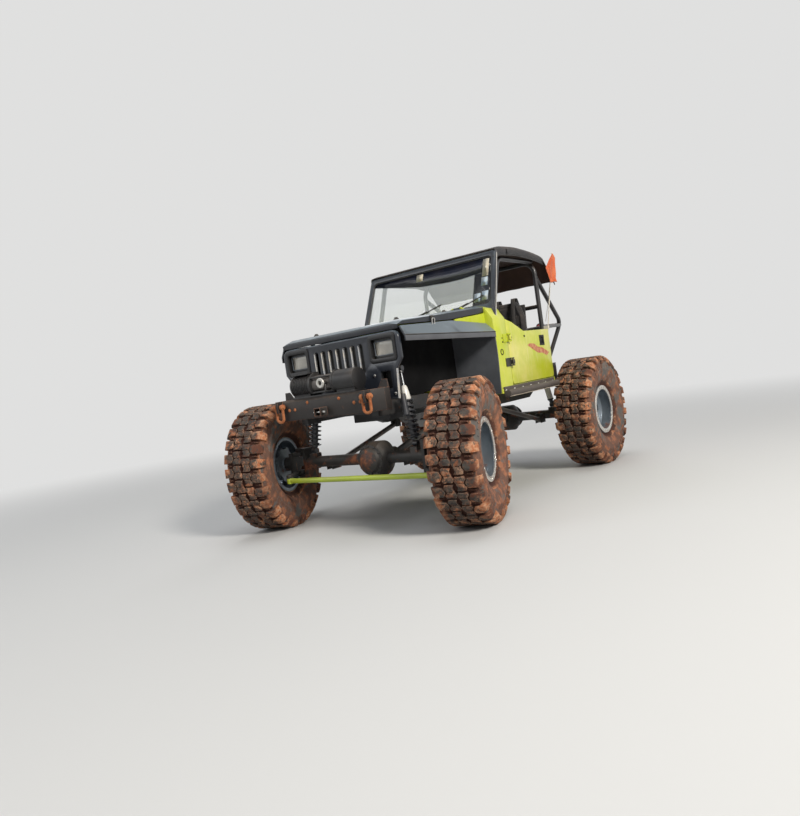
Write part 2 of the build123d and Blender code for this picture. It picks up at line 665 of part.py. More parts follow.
def windshield_glass():
    """Flat glass seated in the middle of the frame."""
    inset = (SCREEN_THICK - GLASS_THICK) / 2
    face = make_face(screen_plane(-inset) * Polyline(*screen_opening(SEAT_GAP), close=True))
    return [extrude(fillet(face.vertices(), 40), GLASS_THICK, dir=screen_plane().z_dir * -1)]


def cowl_outline(inset_side, inset_top, low):
    """Half outline of the tub across the cowl, from the floor up."""
    return [(TUB_HALF - inset_side, low), (TUB_HALF - inset_side, SHOULDER_UP - inset_top * 0.4),
            (TUB_HALF - 60 - inset_side * 0.7, COWL_TOP - 28 - inset_top), (620, COWL_TOP - inset_top)]


def tub():
    """Open body tub: cowl with firewall, floor, sills, door posts, rear corners and rear wall."""
    cowl_end = DOOR_BACK - RUN_GAP
    rear = COWL_BACK + TUB_LENGTH
    post_front = DOOR_BACK + DOOR_LENGTH + RUN_GAP
    post_rear = post_front + 54
    sill_top = DOOR_LOW - RUN_GAP
    outside = both_halves([(x, up(z)) for x, z in cowl_outline(0, 0, 0)])
    cowl = sheet_xz(outside, back(COWL_BACK), back(cowl_end))
    hollow = both_halves([(x, up(z)) for x, z in cowl_outline(WALL, SKIN, FLOOR_THICK)])
    cowl -= sheet_xz(hollow, back(COWL_BACK + 20), back(cowl_end))
    floor = block((-TUB_HALF, TUB_HALF), (back(COWL_BACK), back(post_front)), (up(0), up(FLOOR_THICK)))
    half = REAR_QUARTER_HALF
    floor += block((-half, half), (back(post_front), back(rear)), (up(0), up(FLOOR_THICK)))
    body = cowl.fuse(floor)
    for side in (-1, 1):
        span = (side * DOOR_IN, side * TUB_HALF)
        sill = block(span, (back(cowl_end), back(post_front)), (up(0), up(sill_top)))
        quarter = (side * (half - WALL), side * half)
        post = block(quarter, (back(post_front), back(post_rear)), (up(0), up(DOOR_HIGH)))
        corner = block(quarter, (back(post_rear), back(rear)), (up(0), up(190)))
        body = body.fuse(sill, post, corner)
    body += block((-half, half), (back(rear - 20), back(rear)), (up(0), up(190)))
    body -= screen_blank(SEAT_GAP, SCREEN_THICK)
    return [body.fuse(*pair(cowl_wedge()), *hood_hinge_brackets())]


def cowl_wedge():
    """Strip of the body's side that runs forward between the hood's edge and the fender's flange."""
    front, rear = HOOD_KNEE + 60, COWL_BACK + 1
    (_, _, _, _, knee_up), (_, _, _, _, rear_up) = fender_stations()[1:]
    share = (front - HOOD_KNEE) / (COWL_BACK - HOOD_KNEE)
    low = knee_up + share * (rear_up - knee_up) + SEAT_GAP
    knee_low = hood_line(HOOD_KNEE)[1] - HOOD_SIDE_FRONT - 30
    high = knee_low + share * (COWL_TOP - HOOD_SIDE_REAR - knee_low) - RUN_GAP
    x = hood_line(front)[0] - 2
    plan = [(x, back(front)), (HOOD_REAR_HALF - 2, back(rear)), (HOOD_REAR_HALF - 14, back(rear)),
            (x - 12, back(front))]
    strip = sheet_xy(plan, up(rear_up - 20), up(COWL_TOP))
    side = [(back(front), up(low)), (back(rear), up(rear_up + SEAT_GAP)),
            (back(rear), up(COWL_TOP - HOOD_SIDE_REAR - RUN_GAP)), (back(front), up(high))]
    return strip & sheet_yz(side, 0, TUB_HALF)


def hood_hinge_brackets():
    """Ears and pins on the cowl that carry the hood's barrels."""
    y, z = back(COWL_BACK), up(COWL_TOP + HOOD_HINGE_UP)
    parts = []
    for x in (-HOOD_HINGE_X, HOOD_HINGE_X):
        parts.append(rod((x - 50, y, z), (x + 50, y, z), 5))
        for side in (-1, 1):
            inner, outer = x + side * (30 + RUN_GAP), x + side * 50
            parts.append(rod((inner, y, z), (outer, y, z), 10))
            parts.append(block((inner, outer), (y, y + 46), (up(COWL_TOP - 6), z)))
    return parts


def dash():
    """Dashboard across the cab, behind the firewall, with the front tubes passing through it."""
    low_part = block((-DOOR_IN + SEAT_GAP, DOOR_IN - SEAT_GAP), (back(COWL_BACK + 20), back(DOOR_BACK - 20)),
                     (up(440), up(600)))
    pad = block((-DOOR_IN + 16, DOOR_IN - 16), (back(DOOR_BACK - 30), back(DOOR_BACK + 84)),
                (up(440), up(640)))
    body = low_part.fuse(pad)
    body = chamfer(body.edges().filter_by(Axis.X).group_by(Axis.Y)[-1], 24)
    for tube in front_legs(SEAT_GAP):
        body -= tube
    return [body]


def steering_wheel():
    """Steering wheel with three spokes on its column, which ends in the dash."""
    centre = (SEAT_X, back(DOOR_BACK + 250), up(600))
    tilt = Location(centre, (-65, 0, 0))
    ring = tilt * Torus(WHEEL_RIM_RADIUS, 14)
    hub = tilt * Cylinder(42, 36)
    spokes = [tilt * (Rot(0, 0, a) * Pos(WHEEL_RIM_RADIUS / 2, 0, 0) * Box(WHEEL_RIM_RADIUS, 26, 8))
              for a in (10, 90, 170)]
    axis = Vector(0, 0, -1).rotate(Axis.X, -65)
    return ring, hub, spokes, centre, axis


def steering_parts():
    """The steering wheel and its column as one solid that stops at the dash."""
    ring, hub, spokes, centre, axis = steering_wheel()
    end = Vector(*centre) + axis * 240
    column = rod(centre, (end.X, end.Y, end.Z), 24)
    stop = block((SEAT_X - 60, SEAT_X + 60), (back(DOOR_BACK - 40), back(DOOR_BACK + 84) + SEAT_GAP),
                 (up(400), up(760)))
    return [hub.fuse(ring, *spokes, column) - stop]


def front_legs(grow):
    """The two front tubes of the cage, from the floor up the windscreen and back to the main hoop."""
    rise = (CAGE_TOP - SCREEN_LOW) / (SCREEN_HIGH - SCREEN_LOW)
    knee = DOOR_BACK + 18
    head = knee + SCREEN_RAKE * rise
    hoop_face = HOOP_BACK - CAGE_RADIUS - SEAT_GAP
    tubes = []
    for side in (-1, 1):
        x = side * CAGE_HALF
        points = [(x, back(knee), up(FLOOR_THICK)), (x, back(knee), up(SCREEN_LOW)),
                  (x, back(head), up(CAGE_TOP)), (x, back(hoop_face), up(CAGE_TOP))]
        tubes.append(tube_run(points, CAGE_RADIUS + grow, 90))
    return tubes


def cage_front():
    """Front of the cage: two side tubes with a header across them and a bar behind the dash."""
    left, right = front_legs(0)
    rise = (CAGE_TOP - SCREEN_LOW) / (SCREEN_HIGH - SCREEN_LOW)
    head = DOOR_BACK + 18 + SCREEN_RAKE * rise + 110
    header = rod((-CAGE_HALF, back(head), up(CAGE_TOP)), (CAGE_HALF, back(head), up(CAGE_TOP)), CROSS_RADIUS)
    return [left.fuse(right, header)]


def cage_main():
    """Main hoop behind the seats with its harness bar and one diagonal."""
    foot = FLOOR_THICK
    points = [(-HOOP_HALF, back(HOOP_BACK), up(foot)), (-HOOP_HALF, back(HOOP_BACK), up(CAGE_TOP)),
              (HOOP_HALF, back(HOOP_BACK), up(CAGE_TOP)), (HOOP_HALF, back(HOOP_BACK), up(foot))]
    hoop = tube_run(points, CAGE_RADIUS, 120)
    y = back(HOOP_BACK)
    bar = rod((-HOOP_HALF, y, up(760)), (HOOP_HALF, y, up(760)), CROSS_RADIUS)
    brace = rod((HOOP_HALF, y, up(220)), (-HOOP_HALF + 10, y, up(730)), CROSS_RADIUS - 2)
    return [hoop.fuse(bar, brace)]


def cage_rear():
    """Tapered tube tail: from the hoop down over the rear axle and forward to the frame."""
    start = HOOP_BACK + CAGE_RADIUS + SEAT_GAP
    rail_top = REAR_KICK
    tubes = []
    for side in (-1, 1):
        hip = side * HOOP_HALF
        points = [(hip, back(start - 30), up(CAGE_TOP - 140)),
                  (side * TAIL_HALF, back(TAIL_BACK), up(TAIL_UP)), (side * RAIL_X, back(2880), up(rail_top))]
        tubes.append(tube_run(points, CAGE_RADIUS, 120))
        tubes.append(rod((hip, back(start - 30), up(560)),
                         (side * (TAIL_HALF + 4), back(TAIL_BACK - 70), up(TAIL_UP - 30)), CROSS_RADIUS))
    y, z = back(TAIL_BACK - 40), up(TAIL_UP - 25)
    cross = rod((-TAIL_HALF, y, z), (TAIL_HALF, y, z), CROSS_RADIUS)
    body = cross.fuse(*tubes)
    keep = block((-900, 900), (back(start), back(3300)), (up(rail_top), up(1400)))
    return [body & keep]


def soft_top():
    """Fabric top as one thin shell: crowned roof, folded side edges and a loose rear flap."""
    # distance back and height above the tub bottom along the middle of the roof
    front_up = SCREEN_HIGH + ROOF_THICK + SEAT_GAP
    front = SCREEN_BACK + SCREEN_RAKE
    line = [(front - 12, front_up), (front + 4, front_up), (1560, 1300), (1872, ROOF_PEAK), (2190, 1292),
            (2470, 1250), (2690, 1010)]
    upper = [(back(y), up(z)) for y, z in line]
    lower = [(back(y), up(z - ROOF_THICK)) for y, z in reversed(line[:-1])]
    lower = [(back(line[-1][0] - ROOF_THICK), up(line[-1][1] - ROOF_THICK / 2))] + lower
    roof = sheet_yz(upper + lower, -ROOF_HALF, ROOF_HALF)
    edge_low = [(back(y), up(z - 70)) for y, z in reversed(line[2:-1])]
    edge = sheet_yz(upper[2:-1] + edge_low, ROOF_HALF - ROOF_THICK, ROOF_HALF)
    return [roof.fuse(*pair(edge))]


def bucket_seat():
    """Left bucket seat: pedestal, cushion with bolsters and raked back."""
    low, high = SEAT_X - SEAT_WIDTH / 2, SEAT_X + SEAT_WIDTH / 2
    base = block((low + 60, high - 60), (back(1830), back(2160)), (up(FLOOR_THICK), up(200)))
    # distance back and height of the cushion's and the back rest's side outlines
    cushion_line = [(1780, 200), (1770, 330), (1840, 345), (2160, 300), (2190, 200)]
    rest_line = [(2120, 230), (2210, 860), (2290, 850), (2230, 240)]
    cushion = sheet_yz([(back(y), up(z)) for y, z in cushion_line], low, high)
    rest = sheet_yz([(back(y), up(z)) for y, z in rest_line], low + 10, high - 10)
    high_edges = rest.edges().filter_by(lambda edge: edge.center().Z > up(840))
    rest = chamfer(high_edges.filter_by(Axis.Y, tolerance=20), 60)
    return base.fuse(cushion, rest)


def seats():
    """Two bucket seats."""
    return pair(bucket_seat())


def hinge_heights():
    """Heights of a door's two hinges above the tub bottom."""
    return (DOOR_LOW + 176, DOOR_LOW + 388)


def door():
    """Left half door: slab with a dipped top line, an inner pocket, a handle recess and hinge barrels."""
    front, rear = DOOR_BACK, DOOR_BACK + DOOR_LENGTH
    outline = [(front, DOOR_LOW), (rear, DOOR_LOW), (rear, DOOR_HIGH), (front + 330, DOOR_HIGH - 4),
               (front + 110, DOOR_FRONT_HIGH - 26), (front, DOOR_FRONT_HIGH)]
    slab = sheet_yz([(back(y), up(z)) for y, z in outline], DOOR_IN, TUB_HALF)
    slab = fillet(slab.edges().filter_by(Axis.X).group_by(Axis.Z)[0], 36)
    slab -= block((DOOR_IN, DOOR_IN + 16), (back(front + 90), back(rear - 90)),
                  (up(DOOR_LOW + 80), up(DOOR_HIGH - 90)))
    slab -= block((TUB_HALF - 12, TUB_HALF), (back(front + 664), back(front + 724)), (up(392), up(450)))
    barrels = []
    for height in hinge_heights():
        span = (up(height), up(height + 40))
        barrels.append(block((TUB_HALF - 1, TUB_HALF + 7), (back(front), back(front + 74)), span))
        barrels.append(block((TUB_HALF - 1, TUB_HALF + HINGE_OUT), (back(front + 6), back(front + 18)), span))
        barrels.append(Pos(TUB_HALF + HINGE_OUT, hinge_y(), up(height + 20)) * Cylinder(12, 40))
    slab = slab.fuse(*barrels)
    for height in hinge_heights():
        slab -= Pos(TUB_HALF + HINGE_OUT, hinge_y(), up(height + 20)) * Cylinder(6 + PIN_GAP, 60)
    return slab


def hinge_y():
    """Y of the door hinge axis."""
    return back(DOOR_BACK + 8)


def door_hinges():
    """Fixed halves of the four door hinges, each with two ears and its pin."""
    parts = []
    x = TUB_HALF + HINGE_OUT
    for height in hinge_heights():
        low, high = height - RUN_GAP, height + 40 + RUN_GAP
        pin = Pos(x, hinge_y(), up((low + high) / 2)) * Cylinder(6, high - low + 20)
        ears = []
        for base in (low - 10, high):
            ears.append(Pos(x, hinge_y(), up(base + 5)) * Cylinder(12, 10))
            ears.append(block((TUB_HALF, x), (hinge_y() - 30, hinge_y() - 5), (up(base), up(base + 10))))
            ears.append(block((x - 12, x), (hinge_y() - 30, hinge_y()), (up(base), up(base + 10))))
        leaf = block((TUB_HALF, TUB_HALF + 7), (hinge_y() - 96, hinge_y() - 16),
                     (up(low - 10), up(high + 10)))
        parts += pair(pin.fuse(leaf, *ears))
    return parts


def front_bumper():
    """Boxed bumper with swept ends, a receiver socket, end gussets and shackle tabs."""
    face = -BUMPER_AHEAD
    rear = face + BUMPER_DEPTH
    plan = [(0, face), (430, face), (BUMPER_HALF, face + 86), (BUMPER_HALF, rear), (0, rear)]
    half = sheet_xy([(x, back(y)) for x, y in plan], up(BUMPER_LOW), up(BUMPER_HIGH))
    beam = half.fuse(mirror(half, about=Plane.YZ))
    top_edges = beam.edges().group_by(Axis.Z)[-1].group_by(Axis.Y)[0]
    beam = chamfer(top_edges, 16)
    outer = RECEIVER_BORE / 2 + RECEIVER_WALL
    middle = (BUMPER_LOW + BUMPER_HIGH) / 2 - 34
    mouth = back(face - RECEIVER_AHEAD)
    socket = block((-outer, outer), (mouth, back(face)), (up(middle - outer), up(middle + outer)))
    bore = RECEIVER_BORE / 2
    beam = beam.fuse(socket)
    beam -= block((-bore, bore), (mouth, back(face + 90)), (up(middle - bore), up(middle + bore)))
    pin_y = back(face - RECEIVER_PIN_AHEAD)
    beam -= rod((-100, pin_y, up(middle)), (100, pin_y, up(middle)), PIN_BORE)
    for side in (-1, 1):
        tab = block((side * (SHACKLE_X - 11), side * (SHACKLE_X + 11)), (back(face - 52), back(face + 20)),
                    (up(118), up(BUMPER_HIGH)))
        base, tip = up(BUMPER_HIGH), up(BUMPER_HIGH + 60)
        gusset = sheet_xz([(side * (BUMPER_HALF - 96), base), (side * BUMPER_HALF, base),
                           (side * (BUMPER_HALF - 6), tip), (side * (BUMPER_HALF - 50), tip)],
                          back(rear - 12), back(rear))
        beam = beam.fuse(tab, gusset)
        y, z = back(face - 28), up(162)
        beam -= rod((side * (SHACKLE_X - 60), y, z), (side * (SHACKLE_X + 60), y, z), 13)
    return [beam]


def shackles():
    """Two bow shackles hanging from the bumper's tabs."""
    y, z = back(-BUMPER_AHEAD - 28), up(162)
    half = 34
    legs = [(SHACKLE_X - half, y, z), (SHACKLE_X - half, y, z - 116), (SHACKLE_X + half, y, z - 116),
            (SHACKLE_X + half, y, z)]
    bow = tube_run(legs, SHACKLE_BAR, half - 4)
    pin = rod((SHACKLE_X - half - 22, y, z), (SHACKLE_X + half + 22, y, z), 13 - PIN_GAP)
    eyes = []
    for middle in (SHACKLE_X - half, SHACKLE_X + half):
        eyes.append(rod((middle - 12, y, z), (middle + 12, y, z), 22))
    return pair(bow.fuse(pin, *eyes))


def winch():
    """Winch on the bumper: motor and gear ends, drum between flanges, and its foot plate."""
    y = back(-BUMPER_AHEAD + BUMPER_DEPTH - 72)
    foot = BUMPER_HIGH
    z = up(foot + 9 + WINCH_RADIUS)
    plate = block((-WINCH_HALF, WINCH_HALF), (y - 64, y + 64), (up(foot), up(foot + 12)))
    # x and radius of the turned outline, left end to right end
    flange, drum = WINCH_RADIUS + 6, WINCH_RADIUS * 0.66
    steps = [(-WINCH_HALF, WINCH_RADIUS), (-120, WINCH_RADIUS), (-120, flange), (-104, flange), (-104, drum),
             (104, drum), (104, flange), (120, flange), (120, WINCH_RADIUS), (WINCH_HALF, WINCH_RADIUS)]
    outline = [(-WINCH_HALF, 0, 0)] + [(x, r, 0) for x, r in steps] + [(WINCH_HALF, 0, 0)]
    turned = Pos(0, y, z) * revolve(make_face(Polyline(*outline, close=True)), Axis.X)
    feet = pair(block((134, WINCH_HALF - 8), (y - 58, y + 58), (up(foot + 6), z - 14)))
    knob = rod((36, y - 30, z + 4), (36, y - WINCH_RADIUS - 26, z + 4), 18)
    return [turned.fuse(plate, *feet, knob)]


def rock_sliders():
    """Rocker plate and round slider tube under each door."""
    front, rear = 1176, 2200
    plate = block((TUB_HALF, TUB_HALF + 12), (back(front), back(rear)), (up(-30), up(DOOR_LOW - RUN_GAP - 2)))
    x = TUB_HALF + 12 + SLIDER_RADIUS - 4
    tube = rod((x, back(front), up(-4)), (x, back(rear), up(-4)), SLIDER_RADIUS)
    return pair(plate.fuse(tube))


def link(start, end):
    """Link bar with a round eye across each end."""
    eyes = []
    for x, y, z in (start, end):
        eyes.append(rod((x - LINK_EYE_HALF, y, z), (x + LINK_EYE_HALF, y, z), LINK_EYE_RADIUS))
    return rod(start, end, LINK_RADIUS).fuse(*eyes)


def link_axle_z():
    """Height of the links' axle ends."""
    return WHEEL_Z - 40


def links():
    """Lower suspension links, front and rear, between the axles' ears and the frame's."""
    frame_z = FRAME_LOW - LINK_EYE_RADIUS - SEAT_GAP
    solids = []
    for axle_y, toward, distance in ((FRONT_AXLE_Y, 1, FRONT_LINK_BACK), (REAR_AXLE_Y, -1, REAR_LINK_BACK)):
        start = (LINK_AXLE_X, axle_y + toward * LINK_AXLE_REACH, link_axle_z())
        solids += pair(link(start, (RAIL_X, back(distance), frame_z)))
    return solids


def axle_ears(toward):
    """Ears on an axle, drawn about its middle, that hold the links. They reach forward (-1) or back (1)."""
    ears = []
    for edge in (LINK_AXLE_X - LINK_EYE_HALF - SEAT_GAP - EAR_PLATE, LINK_AXLE_X + LINK_EYE_HALF + SEAT_GAP):
        reach = (toward * 20, toward * (LINK_AXLE_REACH + LINK_EYE_RADIUS))
        ears.append(block((edge, edge + EAR_PLATE), reach,
                          (link_axle_z() - WHEEL_Z - 34, link_axle_z() - WHEEL_Z + 60)))
    return ears + [mirror(ear, about=Plane.YZ) for ear in ears]


def shock_perches():
    """Blocks on an axle, drawn about its middle, that carry the shocks."""
    perch = block((SHOCK_AXLE_X - 32, SHOCK_AXLE_X + 32), (-40, 40), (20, AXLE_TUBE_RADIUS + 28))
    return pair(perch)


def shock_ends():
    """Lower and upper eye of each left-hand shock, front then rear."""
    low_z = WHEEL_Z + AXLE_TUBE_RADIUS + 28 + SHOCK_EYE + SEAT_GAP
    ends = []
    for axle_y, lean in ((FRONT_AXLE_Y, SHOCK_LEAN), (REAR_AXLE_Y, -SHOCK_LEAN)):
        high = Vector(SHOCK_TOP_X, axle_y + lean, up(SHOCK_TOP_UP))
        ends.append((Vector(SHOCK_AXLE_X, axle_y, low_z), high))
    return ends


def shock_towers():
    """Towers on the rails beside the shocks' upper eyes."""
    solids = []
    outer = SHOCK_TOP_X - SHOCK_EYE - SEAT_GAP
    for (low, high), rail_top in zip(shock_ends(), (up(RAIL_HEIGHT), up(REAR_KICK))):
        foot, head = 52, 30
        outline = [(high.Y - foot, rail_top), (high.Y + foot, rail_top), (high.Y + head, high.Z + 26),
                   (high.Y - head, high.Z + 26)]
        tower = sheet_yz(outline, RAIL_X - 6, outer - 14)
        boss = rod((outer - 20, high.Y, high.Z), (outer, high.Y, high.Z), SHOCK_EYE + 2)
        solids += pair(tower.fuse(boss))
    return solids


def coilovers():
    """Four coil-over shocks, each a rod, a body and a ribbed spring stack."""
    solids = []
    for low, high in shock_ends():
        solids += pair(coilover(low, high))
    return solids


def coilover(low, high):
    """One shock between its two eyes, turned about its own axis."""
    axis = high - low
    length = axis.length
    plane = Plane(origin=(low.X, low.Y, low.Z), z_dir=axis)
    turns = 11
    spring_low, spring_high = 60, length * 0.62
    pitch = (spring_high - spring_low) / turns
    # radius and distance along the shock
    outline = [(0, 0), (13, 0), (13, spring_low - 14), (56, spring_low - 14), (56, spring_low)]
    for index in range(turns):
        base = spring_low + index * pitch
        outline += [(42, base + pitch * 0.12), (54, base + pitch * 0.36), (54, base + pitch * 0.64),
                    (42, base + pitch * 0.88)]
    outline += [(56, spring_high), (56, spring_high + 16), (34, spring_high + 16), (34, length - 40),
                (20, length - 34), (20, length), (0, length)]
    face = make_face(Polyline(*[(r, 0, z) for r, z in outline], close=True))
    body = plane.location * revolve(face, Axis.Z)
    eyes = [rod((p.X - SHOCK_EYE, p.Y, p.Z), (p.X + SHOCK_EYE, p.Y, p.Z), SHOCK_EYE) for p in (low, high)]
    return body.fuse(*eyes)


def shaft(start, end, radius):
    """Slanted round shaft whose ends are flat across Y."""
    direction = (Vector(end) - Vector(start)).normalized() * 60
    first, last = Vector(start) - direction, Vector(end) + direction
    bar = rod((first.X, first.Y, first.Z), (last.X, last.Y, last.Z), radius)
    return bar & block((-900, 900), (start[1], end[1]), (0, up(0)))


def drive_shafts():
    """Propeller shafts from the transfer case to each differential."""
    case_front, case_rear = case_ends()
    front = shaft((DIFF_X, FRONT_AXLE_Y + SNOUT + SEAT_GAP, WHEEL_Z),
                  (DIFF_X + 50, back(case_front) - SEAT_GAP, up(CASE_SHAFT_UP)), SHAFT_RADIUS)
    rear = shaft((0, back(case_rear) + SEAT_GAP, up(CASE_SHAFT_UP)),
                 (0, REAR_AXLE_Y - SNOUT - SEAT_GAP, WHEEL_Z), SHAFT_RADIUS)
    return [front, rear]


def fuel_cell():
    """Fuel cell on the rear of the frame with its filler neck."""
    tank = block((-300, 300), (back(2580), back(2900)), (up(REAR_KICK), up(REAR_KICK + 250)))
    tank = fillet(tank.edges().filter_by(Axis.Z), 40)
    neck = Pos(140, back(2700), up(REAR_KICK + 262)) * Cylinder(45, 30)
    return [tank.fuse(neck)]


def tail_lamps():
    """Two small round lamps on the tail's cross tube."""
    y = back(TAIL_BACK - 40) + CROSS_RADIUS + SEAT_GAP
    lamp = rod((330, y, up(TAIL_UP - 25)), (330, y + 34, up(TAIL_UP - 25)), 44)
    return pair(lamp)


def flag_whip():
    """Thin pole that leans back from the main hoop, with its drooping flag."""
    x, y = ROOF_HALF + 14, back(HOOP_BACK)
    foot, head = (x, y - 18, up(500)), (x, y + 340, up(1296))
    pole = rod(foot, head, 6)
    clamp = block((HOOP_HALF + CAGE_RADIUS + SEAT_GAP, x + 8), (y - 14, y + 14), (up(520), up(560)))
    # distance back from the hoop and height of the cloth's corners
    line = [(338, 1290), (96, 1128), (190, 980), (345, 996), (396, 1250)]
    cloth = sheet_yz([(y + far, up(z)) for far, z in line], x - 2, x + 2)
    return [pole.fuse(clamp, cloth)]


def build_nodes():
    """Every node's name with its solids."""
    nodes = {
        "frame_rails": frame_rails(),
        "crossmembers": crossmembers(),
        "belly_skid": belly_skid(),
        "engine_block": engine_block(),
        "gearbox": gearbox(),
        "radiator": radiator(),
        "grille": grille(),
        "lamp_bezels": lamp_bezels(),
        "headlamps": headlamps(),
        "hood": hood(),
        "fenders": fenders(),
        "tub": tub(),
        "dash": dash(),
        "steering_wheel": steering_parts(),
        "windshield_frame": windshield_frame(),
        "windshield_glass": windshield_glass(),
        "cage_front": cage_front(),
        "cage_main": cage_main(),
        "cage_rear": cage_rear(),
        "soft_top": soft_top(),
        "seats": seats(),
        "door_left": [door()],
        "door_right": [mirror(door(), about=Plane.YZ)],
        "door_hinges": door_hinges(),
        "front_bumper": front_bumper(),
        "winch": winch(),
        "shackles": shackles(),
        "rock_sliders": rock_sliders(),
        "front_axle": front_axle(),
        "rear_axle": rear_axle(),
        "links": links(),
        "coilovers": coilovers(),
        "shock_towers": shock_towers(),
        "drive_shafts": drive_shafts(),
        "knuckle_left": [steered(knuckle(), 1)],
        "knuckle_right": [steered(mirror(knuckle(), about=Plane.YZ), -1)],
        "tie_rod": tie_rod(),
        "fuel_cell": fuel_cell(),
        "tail_lamps": tail_lamps(),
        "flag_whip": flag_whip(),
    }
    nodes.update(wheels())
    return nodes


os.makedirs("parts", exist_ok=True)
for name, solids in build_nodes().items():
    shape = solids[0] if len(solids) == 1 else Compound(children=solids)
    export_step(shape, f"parts/{name}.step")
    print(name, len(solids))
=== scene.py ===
"""Looks of a lifted, short-wheelbase off-road 4x4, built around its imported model.

Lengths are metres. The vehicle faces -Y, its left side is +X and +Z is up.
"""

from __future__ import annotations

import json
import logging
import math
from dataclasses import dataclass
from enum import Enum
from typing import Sequence, Union

import bmesh
import bpy
from mathutils import Matrix, Quaternion, Vector

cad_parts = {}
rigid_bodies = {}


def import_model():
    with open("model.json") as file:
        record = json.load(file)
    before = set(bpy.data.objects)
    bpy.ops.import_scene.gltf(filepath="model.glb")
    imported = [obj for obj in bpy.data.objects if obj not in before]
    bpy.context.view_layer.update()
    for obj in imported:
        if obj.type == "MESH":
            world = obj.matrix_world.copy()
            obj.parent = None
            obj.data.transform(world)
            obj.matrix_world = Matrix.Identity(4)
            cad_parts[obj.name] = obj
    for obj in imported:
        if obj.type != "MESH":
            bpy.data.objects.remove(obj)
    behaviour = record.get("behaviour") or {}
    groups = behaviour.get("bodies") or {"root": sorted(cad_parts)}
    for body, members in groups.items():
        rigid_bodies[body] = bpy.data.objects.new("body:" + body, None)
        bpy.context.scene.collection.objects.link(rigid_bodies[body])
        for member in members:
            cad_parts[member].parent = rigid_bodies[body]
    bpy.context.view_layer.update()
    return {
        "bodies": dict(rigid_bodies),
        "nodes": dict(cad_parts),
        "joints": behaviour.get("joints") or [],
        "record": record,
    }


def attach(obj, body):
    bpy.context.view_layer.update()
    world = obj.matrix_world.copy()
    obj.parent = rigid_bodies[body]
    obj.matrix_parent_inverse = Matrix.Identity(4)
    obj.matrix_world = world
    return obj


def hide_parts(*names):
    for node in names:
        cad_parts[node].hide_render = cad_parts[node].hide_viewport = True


LOG = logging.getLogger("off_road")

Colour = tuple[float, float, float]
Pair = tuple[float, float]
Triple = Sequence[float]
Socket = bpy.types.NodeSocket
Value = Union[float, Socket]

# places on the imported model: grille face, bottom of the tub, wheel centres and kingpins
GRILLE_Y = -1.315
TUB_Z = 0.870
WHEEL_Z = 0.53287
FRONT_AXLE_Y = -1.185
REAR_AXLE_Y = 1.325
REAR_WHEEL_X = 0.930
KINGPIN_X = 0.700
# the steered wheels: angle in degrees, and a wheel's centre from its kingpin
STEER = 16.0
STUB = 0.250
STUB_ACROSS = STUB * math.cos(math.radians(STEER))
STUB_BACK = STUB * math.sin(math.radians(STEER))
# points closer than this are one, and edges sharper than this many degrees are rounded
WELD = 1e-6
ROUND_FROM = 25
SIDES = (("left", 1), ("right", -1))
CORNERS = ("front_left", "front_right", "rear_left", "rear_right")


def body_point(x: float, back: float, up: float) -> Vector:
    """Point given by its distance back from the grille face and up from the bottom of the tub."""
    return Vector((x, GRILLE_Y + back, TUB_Z + up))


def upright(point: Triple) -> Matrix:
    """Place that stands a turned shape on a point, with its axis up."""
    return Matrix.Translation(point) @ Matrix.Rotation(math.radians(-90), 4, "Y")


def level(point: Triple, degrees: float) -> Matrix:
    """Place that keeps a turned shape's axis level and turns it from X."""
    return Matrix.Translation(point) @ Matrix.Rotation(math.radians(degrees), 4, "Z")


def outward(point: Triple, side: int) -> Matrix:
    """Place of a turned shape on the vehicle's left (1) or right (-1) skin, with its axis outwards."""
    return level(point, 0.0 if side > 0 else 180.0)


def settle(piece: bpy.types.Object, body: str, slot: str, *nodes: str) -> bpy.types.Object:
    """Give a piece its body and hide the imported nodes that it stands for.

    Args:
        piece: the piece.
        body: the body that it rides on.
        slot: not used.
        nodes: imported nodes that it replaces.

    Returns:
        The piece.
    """
    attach(piece, body)
    if nodes:
        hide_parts(*nodes)
    LOG.info("%s rides on %s", piece.name, body)
    return piece


def shown(name: str, data: bpy.types.ID) -> bpy.types.Object:
    """New object with this data, put into the scene.

    Args:
        name: the object's name.
        data: its mesh, light or camera.

    Returns:
        The object.
    """
    made = bpy.data.objects.new(name, data)
    bpy.context.scene.collection.objects.link(made)
    return made


def baked(piece: bpy.types.Object) -> bpy.types.Mesh:
    """Plain copy of the piece's mesh with its modifiers run.

    Args:
        piece: an object of the scene.

    Returns:
        The copy, which no object uses yet.
    """
    bpy.context.view_layer.update()
    graph = bpy.context.evaluated_depsgraph_get()
    return bpy.data.meshes.new_from_object(piece.evaluated_get(graph))


class Axis(Enum):
    """The three directions of the vehicle."""

    X = 0
    Y = 1
    Z = 2


class Pattern(Enum):
    """Fine surface patterns that a finish can carry."""

    PLAIN = "plain"
    WEAVE = "weave"
    BRUSHED = "brushed"
    CAST = "cast"
    RIBBED = "ribbed"
    TREAD = "tread"


